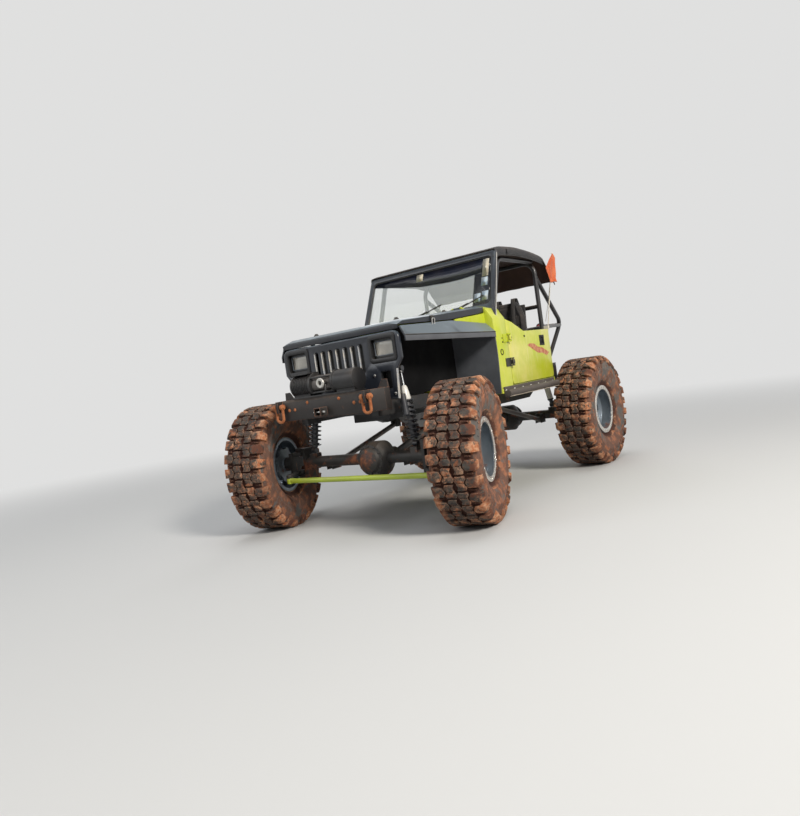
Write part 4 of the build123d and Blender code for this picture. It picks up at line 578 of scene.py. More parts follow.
class Shape:
    """A mesh under construction."""

    def __init__(self) -> None:
        """Start empty."""
        self.mesh = bmesh.new()

    def faces(self, rings: Sequence[Sequence[Vector]], around: bool = True, along: bool = False,
              caps: bool = True) -> Shape:
        """Skin of quads over rings of points.

        Args:
            rings: rings of equally many points.
            around: whether each ring closes on itself.
            along: whether the last ring joins the first.
            caps: whether the end rings are filled.

        Returns:
            This shape.
        """
        grid = [[self.mesh.verts.new(point) for point in ring] for ring in rings]
        count = len(grid[0])
        rows = len(grid) if along else len(grid) - 1
        for row in range(rows):
            near, far = grid[row], grid[(row + 1) % len(grid)]
            for column in range(count if around else count - 1):
                after = (column + 1) % count
                self.mesh.faces.new((near[column], near[after], far[after], far[column]))
        if caps and around and not along:
            self.mesh.faces.new(grid[0])
            self.mesh.faces.new(grid[-1])
        return self

    def sheet(self, rows: Sequence[Sequence[Vector]]) -> Shape:
        """Open skin over rows of points."""
        return self.faces(rows, around=False, caps=False)

    def block(self, low: Triple, high: Triple) -> Shape:
        """Box between two corners.

        Args:
            low: the corner with the least numbers.
            high: the corner opposite.

        Returns:
            This shape.
        """
        x, y, z = zip(low, high)
        ring = [(x[0], y[0]), (x[1], y[0]), (x[1], y[1]), (x[0], y[1])]
        return self.faces([[Vector((a, b, height)) for a, b in ring] for height in z])

    def body_block(self, low: Triple, high: Triple) -> Shape:
        """Box between two corners given from the grille face and the bottom of the tub."""
        return self.block(body_point(*low), body_point(*high))

    def prism(self, outline: Sequence[Pair], axis: Axis, low: float, high: float,
              place: Matrix | None = None, taper: float = 1.0) -> Shape:
        """Flat outline carried along an axis.

        Args:
            outline: corners in the two other directions, in the order X, Y, Z.
            axis: the direction to carry it.
            low: where it starts.
            high: where it ends.
            place: a move of the result.
            taper: size of the far end against the near one.

        Returns:
            This shape.
        """
        move = place or Matrix()
        middle = [sum(values) / len(outline) for values in zip(*outline)]
        rings = []
        for height, size in ((low, 1.0), (high, taper)):
            ring = []
            for first, second in outline:
                flat = [middle[0] + (first - middle[0]) * size, middle[1] + (second - middle[1]) * size]
                flat.insert(axis.value, height)
                ring.append(move @ Vector(flat))
            rings.append(ring)
        return self.faces(rings)

    def lathe(self, profile: Sequence[Pair], place: Matrix | None = None, sides: int = 48,
              closed: bool = False) -> Shape:
        """Profile turned about the X axis.

        Args:
            profile: pairs of distance along the axis and radius.
            place: a move of the result.
            sides: parts of the full turn.
            closed: whether the profile is a loop, as in a ring.

        Returns:
            This shape.
        """
        move = place or Matrix()
        rings = []
        for along, radius in profile:
            ring = []
            for side in range(sides):
                angle = math.tau * side / sides
                ring.append(move @ Vector((along, radius * math.cos(angle), radius * math.sin(angle))))
            rings.append(ring)
        return self.faces(rings, along=closed, caps=not closed)

    def tube(self, points: Sequence[Triple], radius: float, bend: float = 0.0, sides: int = 12) -> Shape:
        """Round bar along a line.

        Args:
            points: corners of the line.
            radius: of the bar.
            bend: radius at the corners.
            sides: of its section.

        Returns:
            This shape.
        """
        path = arc_path(points, bend) if bend else [Vector(point) for point in points]
        rings = []
        across: Vector | None = None
        for index, point in enumerate(path):
            ahead = path[min(index + 1, len(path) - 1)] - path[max(index - 1, 0)]
            way = ahead.normalized()
            across = way.orthogonal() if across is None else across - way * across.dot(way)
            across = across.normalized()
            other = way.cross(across)
            ring = []
            for side in range(sides):
                angle = math.tau * side / sides
                ring.append(point + (across * math.cos(angle) + other * math.sin(angle)) * radius)
            rings.append(ring)
        return self.faces(rings)

    def bar(self, points: Sequence[Triple], radius: float, bend: float = 0.0, sides: int = 12) -> Shape:
        """Round bar along a line given from the grille face and the bottom of the tub."""
        return self.tube([body_point(*point) for point in points], radius, bend, sides)

    def finish(self, name: str, finish: Finish, bevel: float = 0.0, smooth: float = 35.0, segments: int = 2,
               place: Matrix | None = None) -> bpy.types.Object:
        """Turn the shape into an object.

        Args:
            name: the piece's name.
            finish: its material.
            bevel: width of its rounded edges.
            smooth: angle in degrees above which an edge stays sharp.
            segments: parts of each rounded edge.
            place: a move of the finished mesh.

        Returns:
            The object, in the scene.
        """
        bmesh.ops.remove_doubles(self.mesh, verts=self.mesh.verts, dist=WELD)
        bmesh.ops.recalc_face_normals(self.mesh, faces=self.mesh.faces)
        if bevel:
            sharp = [edge for edge in self.mesh.edges
                     if edge.is_manifold and edge.calc_face_angle(0.0) > math.radians(ROUND_FROM)]
            bmesh.ops.bevel(self.mesh, geom=sharp, offset=bevel, segments=segments, affect="EDGES", profile=0.5,
                            clamp_overlap=True)
        mesh = bpy.data.meshes.new(name)
        self.mesh.to_mesh(mesh)
        self.mesh.free()
        mesh.shade_smooth()
        mesh.set_sharp_from_angle(angle=math.radians(smooth))
        mesh.materials.append(finish.material())
        if place:
            mesh.transform(place)
        return shown(name, mesh)

    def fit(self, name: str, finish: Finish, slot: str, *nodes: str, body: str = "chassis",
            **options: float | Matrix) -> bpy.types.Object:
        """Turn the shape into an object and settle it on its body.

        Args:
            name: the piece's name.
            finish: its material.
            slot: the record's material slot.
            nodes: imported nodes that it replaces.
            body: the body that it rides on.
            options: edges and place, as in finish.

        Returns:
            The piece.
        """
        return settle(self.finish(name, finish, **options), body, slot, *nodes)


class Nodes(Graph):
    """A Geometry Nodes tree that repeats or sweeps a shape."""

    def __init__(self, name: str, **inputs: float | Triple | None) -> None:
        """Start a tree with named inputs, a shape and a material.

        Args:
            name: the tree's name.
            inputs: value of each input by name, or nothing for an object.
        """
        super().__init__(bpy.data.node_groups.new(name, "GeometryNodeTree"))
        kinds = {int: "Int", float: "Float", tuple: "Vector", type(None): "Object"}
        face = self.tree.interface
        face.new_socket("Geometry", in_out="OUTPUT", socket_type="NodeSocketGeometry")
        for key in ("Geometry", "Material"):
            face.new_socket(key, in_out="INPUT", socket_type="NodeSocket" + key)
        for key, value in inputs.items():
            socket = face.new_socket(key, in_out="INPUT", socket_type="NodeSocket" + kinds[type(value)])
            if value is not None:
                socket.default_value = value
        self.source = self.tree.nodes.new("NodeGroupInput").outputs
        self.sink = self.tree.nodes.new("NodeGroupOutput").inputs

    def instances(self, points: Socket, shape: Socket, **inputs: Socket) -> Nodes:
        """Put the shape on each point and close the tree."""
        wanted = {"Points": points, "Instance": shape, **inputs}
        return self.end(self.node("GeometryNodeInstanceOnPoints", wanted).outputs[0])

    def end(self, geometry: Socket) -> Nodes:
        """Realize the instances, set the material and close the tree.

        Args:
            geometry: the instances or the swept mesh.

        Returns:
            This tree.
        """
        real = self.node("GeometryNodeRealizeInstances", {0: geometry}).outputs[0]
        dressed = self.node("GeometryNodeSetMaterial", {"Geometry": real, "Material": self.source["Material"]})
        self.tree.links.new(dressed.outputs[0], self.sink["Geometry"])
        return self

    def run(self, source: bpy.types.Object, name: str, finish: Finish, values: dict[str, object],
            place: Matrix | None = None, smooth: float = 35.0) -> bpy.types.Object:
        """Run the tree on an object and keep the result as a plain mesh.

        Args:
            source: the object whose mesh goes in; it is removed.
            name: the new piece's name.
            finish: its material.
            values: the tree's inputs by name.
            place: a move of the result.
            smooth: angle in degrees above which an edge stays sharp.

        Returns:
            The new piece.
        """
        modifier = source.modifiers.new("build", "NODES")
        modifier.node_group = self.tree
        wanted = {"Material": finish.material(), **values}
        for item in self.tree.interface.items_tree:
            if item.in_out == "INPUT" and item.name in wanted:
                modifier[item.identifier] = wanted[item.name]
        mesh = baked(source)
        bpy.data.objects.remove(source)
        mesh.name = name
        if place is not None:
            mesh.transform(place)
        mesh.shade_smooth()
        mesh.set_sharp_from_angle(angle=math.radians(smooth))
        return shown(name, mesh)


def ring_tree() -> Nodes:
    """Tree that repeats a shape round the X axis.

    Returns:
        The closed tree.
    """
    made = Nodes("ring", Count=8, Phase=0.0, Jitter=0.0, Seed=1)
    line = made.node("GeometryNodeMeshLine", {"Count": made.source["Count"], "Offset": (0.0, 0.0, 0.0)})
    index = made.node("GeometryNodeInputIndex").outputs[0]
    angle = made.times(index, made.math("DIVIDE", math.tau, made.source["Count"]))
    angle = made.math("ADD", angle, made.source["Phase"])
    low = made.times(made.source["Jitter"], -1.0)
    wobble = made.node("FunctionNodeRandomValue", {2: low, 3: made.source["Jitter"], "Seed": made.source["Seed"]},
                       data_type="FLOAT").outputs[1]
    turn = made.node("ShaderNodeCombineXYZ", {"X": made.math("ADD", angle, wobble)}).outputs[0]
    spin = made.node("FunctionNodeEulerToRotation", {0: turn}).outputs[0]
    return made.instances(line.outputs[0], made.source["Geometry"], Rotation=spin)


def row_tree() -> Nodes:
    """Tree that repeats a shape along a line.

    Returns:
        The closed tree.
    """
    made = Nodes("row", Count=8, Step=(0.0, 0.0, 0.1))
    line = made.node("GeometryNodeMeshLine", {"Count": made.source["Count"], "Offset": made.source["Step"]})
    return made.instances(line.outputs[0], made.source["Geometry"])


def scatter_tree() -> Nodes:
    """Tree that puts another object's shape on each point, at most a share smaller than drawn.

    Returns:
        The closed tree.
    """
    made = Nodes("scatter", Shape=None, Uneven=0.06, Seed=3)
    shape = made.node("GeometryNodeObjectInfo", {0: made.source["Shape"]}).outputs["Geometry"]
    low = made.math("SUBTRACT", 1.0, made.source["Uneven"])
    size = made.node("FunctionNodeRandomValue", {2: low, 3: 1.0, "Seed": made.source["Seed"]},
                     data_type="FLOAT").outputs[1]
    return made.instances(made.source["Geometry"], shape, Scale=size)


def coil_tree() -> Nodes:
    """Tree that winds round wire into a coil along Z.

    Returns:
        The closed tree.
    """
    made = Nodes("coil", Turns=8.0, Radius=0.05, Height=0.3, Wire=0.006, Resolution=28)
    inputs = {"Rotations": "Turns", "Start Radius": "Radius", "End Radius": "Radius"}
    inputs = {key: made.source[inputs.get(key, key)] for key in (*inputs, "Resolution", "Height")}
    curve = made.node("GeometryNodeCurveSpiral", inputs).outputs[0]
    ring = made.node("GeometryNodeCurvePrimitiveCircle", {"Resolution": 8, "Radius": made.source["Wire"]}).outputs[0]
    wire = made.node("GeometryNodeCurveToMesh", {"Curve": curve, "Profile Curve": ring, "Fill Caps": True}).outputs[0]
    return made.end(wire)


class Repeats:
    """The shared trees and the pieces that they make."""

    # of a bolt head's radius: the washer under it, and its rounded top
    washer: float = 1.35
    crown: float = 0.82

    def __init__(self) -> None:
        """Build each tree once."""
        self.ring = ring_tree()
        self.row = row_tree()
        self.scatter = scatter_tree()
        self.coil = coil_tree()

    def many(self, tree: Nodes, shape: Shape, name: str, finish: Finish, slot: str, place: Matrix | None = None,
             body: str = "chassis", bevel: float = 0.0, **values: object) -> None:
        """One shape repeated by a tree and settled on its body.

        Args:
            tree: the tree that repeats it.
            shape: the shape.
            name: the piece's name.
            finish: its material.
            slot: the record's material slot.
            place: a move of the result.
            body: the body that it rides on.
            bevel: width of the shape's rounded edges.
            values: the tree's inputs by name.
        """
        settle(tree.run(shape.finish(name + "_one", finish, bevel), name, finish, values, place), body, slot)

    def wound(self, name: str, finish: Finish, slot: str, place: Matrix, *nodes: str, **values: object) -> None:
        """Wire wound round the Z axis of its place.

        Args:
            name: the piece's name.
            finish: its material.
            slot: the record's material slot.
            place: where it starts and which way it runs.
            nodes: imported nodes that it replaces.
            values: the coil tree's inputs by name.
        """
        dot = Shape().block((0.0, 0.0, 0.0), (0.001, 0.001, 0.001)).finish(name + "_dot", finish)
        settle(self.coil.run(dot, name, finish, values, place), "chassis", slot, *nodes)

    def bolts(self, name: str, slot: str, points: Sequence[Triple], facing: Triple, radius: float, height: float,
              finish: Finish = BOLT_STEEL, sides: int = 6, body: str = "chassis") -> None:
        """Bolt heads with washers at each point.

        Args:
            name: the piece's name.
            slot: the record's material slot.
            points: where each head sits.
            facing: the way that the heads point.
            radius: across a head's corners.
            height: of a head.
            finish: its material.
            sides: of a head.
            body: the body that it rides on.
        """
        turn = Vector((1.0, 0.0, 0.0)).rotation_difference(Vector(facing)).to_matrix().to_4x4()
        head = Shape()
        head.lathe([(0.0, radius * self.washer), (height * 0.22, radius * self.washer)], turn, 12)
        head.lathe([(height * 0.2, radius), (height * 0.85, radius), (height, radius * self.crown)], turn, sides)
        shape = head.finish(name + "_head", finish, smooth=30.0)
        dots = bpy.data.meshes.new(name + "_dots")
        dots.from_pydata([tuple(point) for point in points], [], [])
        made = self.scatter.run(shown(name + "_dots", dots), name, finish,
                                {"Shape": shape, "Uneven": 0.05, "Seed": len(name)}, smooth=30.0)
        bpy.data.objects.remove(shape)
        settle(made, body, slot)


def thicken(piece: bpy.types.Object, thickness: float, offset: float = -1.0) -> bpy.types.Modifier:
    """Give an open skin its thickness.

    Args:
        piece: the skin.
        thickness: in metres.
        offset: -1 for a growth inwards, 0 for one to both sides.

    Returns:
        The modifier.
    """
    skin = piece.modifiers.new("thickness", "SOLIDIFY")
    skin.thickness, skin.offset = thickness, offset
    return skin


def outline(points: Sequence[Pair]) -> list[Pair]:
    """Corners across the vehicle's side, from distances behind the grille face and above the tub's bottom."""
    return [(GRILLE_Y + back, TUB_Z + up) for back, up in points]


@dataclass
class PackedParts:
    """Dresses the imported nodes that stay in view."""

    nodes: dict[str, bpy.types.Object]
    # node, finish, width of its rounded edges
    dressing: Sequence[tuple[str, Finish, float]] = (
        ("frame_rails", FRAME_BLACK, 0.006), ("crossmembers", FRAME_BLACK, 0.003), ("belly_skid", SCRAPED_PLATE, 0.002),
        ("engine_block", ENGINE_IRON, 0.006), ("gearbox", CAST_ALLOY, 0.006), ("radiator", RADIATOR_BLACK, 0.003),
        ("grille", GRILLE_PAINT, 0.005), ("lamp_bezels", BEZEL_BLACK, 0.004), ("headlamps", LENS, 0.004),
        ("hood", BLACK_PAINT, 0.006), ("fenders", FENDER_PAINT, 0.005), ("tub", LIME_PAINT, 0.004),
        ("dash", DASH_PLASTIC, 0.008), ("steering_wheel", GRIP_LEATHER, 0.002),
        ("windshield_frame", BLACK_PAINT, 0.006), ("windshield_glass", GLASS, 0.001),
        ("cage_front", CAGE_PAINT, 0.0), ("cage_main", CAGE_PAINT, 0.0),
        ("cage_rear", CAGE_PAINT, 0.0), ("door_left", DOOR_PAINT, 0.004), ("door_right", DOOR_PAINT, 0.004),
        ("door_hinges", HINGE_STEEL, 0.001), ("front_bumper", BUMPER_BLACK, 0.004), ("winch", WINCH_BLACK, 0.003),
        ("shackles", RUSTY_IRON, 0.002), ("rock_sliders", SLIDER_GREY, 0.002), ("front_axle", AXLE_IRON, 0.004),
        ("rear_axle", AXLE_IRON, 0.004), ("links", LINK_STEEL, 0.003), ("shock_towers", FRAME_BLACK, 0.002),
        ("drive_shafts", SHAFT_STEEL, 0.002), ("knuckle_left", KNUCKLE_IRON, 0.004),
        ("knuckle_right", KNUCKLE_IRON, 0.004), ("tie_rod", LIME_ROD, 0.003), ("fuel_cell", CELL_ALLOY, 0.004),
        ("tail_lamps", RED_LENS, 0.005), *(("rim_" + corner, RIM_ALLOY_WITH_SKY_SHADE, 0.002) for corner in CORNERS),
        *(("tyre_" + corner, TYRE_MUD, 0.0) for corner in CORNERS), ("coilovers", SHOCK_WHITE, 0.0),
        ("soft_top", ROOF_CANVAS, 0.0),
        ("seats", SEAT_CLOTH, 0.0), ("flag_whip", POLE_FIBRE, 0.0))

    def smoothing(self) -> bpy.types.NodeTree:
        """Tree that shades the round faces smooth and keeps real edges sharp.

        Returns:
            The tree.
        """
        made = Nodes("soften", Angle=0.6)
        angle = made.node("GeometryNodeInputMeshEdgeAngle").outputs["Unsigned Angle"]
        sharp = made.node("FunctionNodeCompare", {0: angle, 1: made.source["Angle"]}, data_type="FLOAT",
                          operation="GREATER_THAN").outputs[0]
        soft = made.node("GeometryNodeSetShadeSmooth", {"Geometry": made.source["Geometry"], "Shade Smooth": True},
                         domain="FACE").outputs[0]
        kept = made.node("GeometryNodeSetShadeSmooth", {"Geometry": soft, "Selection": sharp, "Shade Smooth": False},
                         domain="EDGE").outputs[0]
        made.tree.links.new(kept, made.sink["Geometry"])
        return made.tree

    def accent(self, name: str, centre: Vector, normal: Vector) -> Finish | None:
        """Finish of one face where it differs from the rest of its node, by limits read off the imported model.

        Args:
            name: the node's name.
            centre: middle of the face.
            normal: the way that it faces.

        Returns:
            The finish, or nothing where the face takes the node's own.
        """
        back, up = centre.y - GRILLE_Y, centre.z - TUB_Z
        if name == "fenders":
            if back > 1.10 and abs(normal.y) > 0.7 and up < 0.55:
                return LEG_GREY
            if abs(normal.x) > 0.93 and normal.x * centre.x > 0.0 and abs(centre.x) > 0.60:
                return LIP_GREY
            # the fenders' undersides and inner faces take painted shade
            if normal.z < -0.2 or abs(normal.x) > 0.7 and abs(centre.x) < 0.36 or normal.x * centre.x < -0.2:
                return PAINTED_WELL_SHADE
        elif name in ("door_left", "door_right") and 2.030 < back < 2.098 and 0.388 < up < 0.454:
            return BLACK_AND_HOLE_SHADE
        elif name == "door_hinges" and up > 0.40:
            return LIME_PAINT
        elif name.startswith("door_") and name != "door_hinges" and abs(centre.x) > 0.7635:
            return DOOR_PAINT if up > 0.40 else HINGE_STEEL
        elif name == "grille" and abs(normal.x) > 0.7 and 0.005 < back < 0.026:
            # the slots' side walls and the grille's lower outer edges take a painted highlight
            if abs(centre.x) < 0.28 or up < 0.34 and abs(centre.x) > 0.50:
                return PAINTED_SLOT_HIGHLIGHT
        elif name == "headlamps" and back > 0.056:
            return BEZEL_BLACK
        elif name == "tub" and normal.z > 0.9 and up < 0.05:
            return LINER
        elif name == "tub" and back > 2.240 and abs(centre.x) > 0.66 and abs(normal.z) < 0.9:
            return BLACK_PAINT
        elif name == "hood" and normal.z < -0.3:
            # the hood's underside takes painted shade
            return PAINTED_WELL_SHADE
        return None

    def dress(self) -> None:
        """Give each node its material, rounded edges and shading."""
        smoothing = self.smoothing()
        for name, finish, width in self.dressing:
            node = self.nodes[name]
            node.data.materials.clear()
            node.data.materials.append(finish.material())
            place = node.matrix_world
            extra: list[str] = []
            for polygon in node.data.polygons:
                other = self.accent(name, place @ polygon.center, place.to_3x3() @ polygon.normal)
                if other is not None and other.name not in extra:
                    extra.append(other.name)
                    node.data.materials.append(other.material())
                polygon.material_index = extra.index(other.name) + 1 if other is not None else 0
            weld = node.modifiers.new("weld", "WELD")
            weld.merge_threshold = 1e-5
            if width:
                bevel = node.modifiers.new("round", "BEVEL")
                bevel.width, bevel.segments = width, 2
                bevel.limit_method, bevel.angle_limit = "ANGLE", math.radians(38)
                bevel.use_clamp_overlap = True
            node.modifiers.new("shade", "NODES").node_group = smoothing
            LOG.info("%s dressed in %s", name, finish.name)


@dataclass(frozen=True)
class WheelPlace:
    """Where one wheel stands."""

    name: str
    x: float
    y: float
    turn: float
    side: int

    def matrix(self) -> Matrix:
        """Place of a wheel drawn about the X axis with its outside at +X."""
        return level((self.x, self.y, WHEEL_Z), self.turn + (0.0 if self.side > 0 else 180.0))


WHEEL_PLACES = (WheelPlace("front_left", KINGPIN_X + STUB_ACROSS, FRONT_AXLE_Y + STUB_BACK, STEER, 1),
                WheelPlace("front_right", -KINGPIN_X - STUB_ACROSS, FRONT_AXLE_Y - STUB_BACK, STEER, -1),
                WheelPlace("rear_left", REAR_WHEEL_X, REAR_AXLE_Y, 0.0, 1),
                WheelPlace("rear_right", -REAR_WHEEL_X, REAR_AXLE_Y, 0.0, -1))


@dataclass
class Wheels:
    """Lugged tyres, bead rings and hub trim of the four wheels."""

    repeats: Repeats
    radius: float = 0.533
    pitches: int = 28
    # x and radius of the carcass, bead to crown
    carcass: Sequence[Pair] = ((0.1145, 0.218), (0.1150, 0.240), (0.128, 0.262), (0.152, 0.288), (0.168, 0.322),
                               (0.176, 0.362), (0.1785, 0.388), (0.1815, 0.392), (0.1815, 0.400), (0.1785, 0.404),
                               (0.176, 0.440), (0.168, 0.474), (0.150, 0.494), (0.112, 0.508), (0.060, 0.511),
                               (0.0, 0.512))
    floor: float = 0.511
    # radius where the blocks start, inside the carcass
    root: float = 0.500
    # low bars between the halves of a centre block and between two shoulder lugs
    tie_bar: Sequence[Pair] = ((0.016, -0.006), (0.060, -0.006), (0.060, 0.006), (0.018, 0.006))
    stone_rib: Sequence[Pair] = ((0.098, 0.053), (0.136, 0.055), (0.136, 0.066), (0.098, 0.064))
    # x and distance round the tread of the two halves of a centre block, beside the zig-zag groove
    centre_block: Sequence[Sequence[Pair]] = (
        ((0.0090, -0.0525), (-0.0030, -0.0300), (0.0084, -0.0016), (0.0670, -0.0016), (0.0670, -0.0080),
         (0.0820, -0.0260), (0.0720, -0.0500), (0.0400, -0.0475)),
        ((0.0096, 0.0016), (0.0210, 0.0300), (0.0090, 0.0525), (0.0400, 0.0575), (0.0740, 0.0560), (0.0830, 0.0300),
         (0.0670, 0.0100), (0.0670, 0.0016)))
    # x, radius and half length of a shoulder lug's top, then x and radius of its base
    shoulder_lug: Sequence[tuple[float, float, float, float, float]] = (
        (0.0780, 0.533, 0.007, 0.078, 0.500), (0.0920, 0.533, 0.034, 0.092, 0.500),
        (0.1460, 0.533, 0.037, 0.140, 0.495), (0.1580, 0.529, 0.037, 0.148, 0.490),
        (0.1875, 0.490, 0.035, 0.160, 0.475), (0.1905, 0.480, 0.034, 0.163, 0.465),
        (0.1840, 0.456, 0.028, 0.165, 0.452), (0.1680, 0.441, 0.024, 0.164, 0.440))
    # the end of a short lug, after the first four rows
    short_end: Sequence[tuple[float, float, float, float, float]] = (
        (0.1790, 0.499, 0.032, 0.160, 0.478), (0.1770, 0.478, 0.028, 0.164, 0.472))
    # where the shoulder starts, across the tyre, and how wide it is
    shoulder_from: float = 0.10
    shoulder_width: float = 0.06

    def lug(self, shape: Shape, side: int, turn: float, short: bool) -> None:
        """One shoulder lug.

        Args:
            shape: the shape that it joins.
            side: 1 for the outside, -1 for the inside.
            turn: its distance round the tread.
            short: whether it ends higher up the shoulder.
        """
        rings = []
        for x, radius, half, base_x, base in (*self.shoulder_lug[:4], *self.short_end) if short else self.shoulder_lug:
            ring = [(x, -half, radius), (x, half, radius), (base_x, half, base), (base_x, -half, base)]
            rings.append([Vector((side * a, turn + b * side, c)) for a, b, c in ring])
        shape.faces(rings)

    def tread(self) -> bpy.types.Object:
        """Two pitches of both tread rows, standing at the top of the wheel.

        Returns:
            The mesh that the ring repeats.
        """
        shape = Shape()
        pitch = math.tau * self.radius / self.pitches
        for side in (-1, 1):
            for step in (0, 1):
                turn = side * pitch / 4 + step * pitch
                for half in self.centre_block:
                    block = [(side * x, turn + side * y) for x, y in half]
                    shape.prism(block, Axis.Z, self.root, self.radius, taper=0.955)
                tie, stone = ([(side * x, turn + side * y) for x, y in low] for low in (self.tie_bar, self.stone_rib))
                shape.prism(tie, Axis.Z, self.root, 0.523)
                self.lug(shape, side, turn, step == 1)
                shape.prism(stone, Axis.Z, self.root, 0.519)
        for vertex in shape.mesh.verts:
            x, y, radius = vertex.co
            angle = y / self.radius
            vertex.co = (x, -radius * math.sin(angle), radius * math.cos(angle))
        return shape.finish("tread_pair", TYRE_MUD, bevel=0.003, segments=2)

    def mark(self, piece: bpy.types.Object, place: WheelPlace) -> None:
        """Record how far each point stands above the groove floor and how near the shoulder it is.

        Args:
            piece: the carcass or the lugs, in place.
            place: where the wheel stands.
        """
        rise = piece.data.attributes.new("rise", "FLOAT", "POINT")
        shoulder = piece.data.attributes.new("shoulder", "FLOAT", "POINT")
        back = place.matrix().inverted()
        for vertex in piece.data.vertices:
            local = back @ vertex.co
            height = (math.hypot(local.y, local.z) - self.floor) / (self.radius - self.floor)
            side = min(1.0, max(0.0, (abs(local.x) - self.shoulder_from) / self.shoulder_width))
            rise.data[vertex.index].value = max(height, side)
            shoulder.data[vertex.index].value = side

    def tyre(self, place: WheelPlace) -> None:
        """One tyre: carcass, lugs and sidewall ribs.

        Args:
            place: where the wheel stands.
        """
        wall = [(x - 0.014, r - 0.012) for x, r in self.carcass[2:]]
        outer = list(self.carcass) + [(-x, r) for x, r in reversed(self.carcass[:-1])]
        inner = wall + [(-x, r) for x, r in reversed(wall[:-1])]
        shape = Shape().lathe(outer + inner[::-1], sides=112, closed=True)
        carcass = shape.finish("tyre_carcass_" + place.name, SIDEWALL_MUD, smooth=40.0)
        carcass.data.materials.append(TYRE_MUD.material())
        for polygon in carcass.data.polygons:
            polygon.material_index = int(abs(polygon.center.x) < 0.150)
        carcass.data.transform(place.matrix())
        self.mark(carcass, place)
        body = "wheel_" + place.name
        settle(carcass, body, "tyre", "tyre_" + place.name)
        lugs = self.repeats.ring.run(self.tread(), "tyre_lugs_" + place.name, TYRE_MUD,
                                     {"Count": self.pitches // 2, "Jitter": 0.003, "Seed": len(place.name)},
                                     place.matrix())
        self.mark(lugs, place)
        settle(lugs, body, "tyre", "tyre_" + place.name)
        rib = Shape().block((0.170, -0.004, 0.408), (0.1815, 0.004, 0.436))
        self.repeats.many(self.repeats.ring, rib, "tyre_ribs_" + place.name, SIDEWALL_MUD, "tyre", place.matrix(), body,
                          bevel=0.002, Count=self.pitches * 2)

    def trim(self, place: WheelPlace) -> None:
        """Bead ring with its bolts, hub cap and wheel nuts.

        Args:
            place: where the wheel stands.
        """
        body = "wheel_" + place.name
        ring = Shape().lathe([(0.1275, 0.197), (0.1275, 0.236), (0.1310, 0.2375), (0.1345, 0.236), (0.1360, 0.230),
                              (0.1360, 0.204), (0.1340, 0.1975)], sides=96, closed=True)
        ring.fit("bead_ring_" + place.name, BRIGHT_ALLOY, "rim", body=body, smooth=30.0, place=place.matrix())
        head = Shape().lathe([(-0.001, 0.0072), (0.0030, 0.0072), (0.0040, 0.0058)],
                             Matrix.Translation((0.1360, 0.0, 0.2170)), 6)
        self.repeats.many(self.repeats.ring, head, "bead_bolts_" + place.name, BRIGHT_ALLOY, "rim", place.matrix(),
                          body, Count=24)
        nut = Shape().lathe([(-0.034, 0.012), (-0.012, 0.012), (-0.004, 0.008)],
                            Matrix.Translation((0.0, 0.0, 0.078)), 6)
        self.repeats.many(self.repeats.ring, nut, "wheel_nuts_" + place.name, BOLT_STEEL, "rim", place.matrix(), body,
                          Count=8, Phase=0.2)
        cap = Shape().lathe([(-0.0022, 0.050), (0.022, 0.048), (0.030, 0.040), (0.034, 0.028), (0.046, 0.026),
                             (0.050, 0.018), (0.051, 0.001)], sides=36)
        cap.fit("hub_cap_" + place.name, CAST_ALLOY, "rim", body=body, smooth=28.0, place=place.matrix())

    def build(self) -> None:
        """All four wheels."""
        for place in WHEEL_PLACES:
            self.tyre(place)
            self.trim(place)


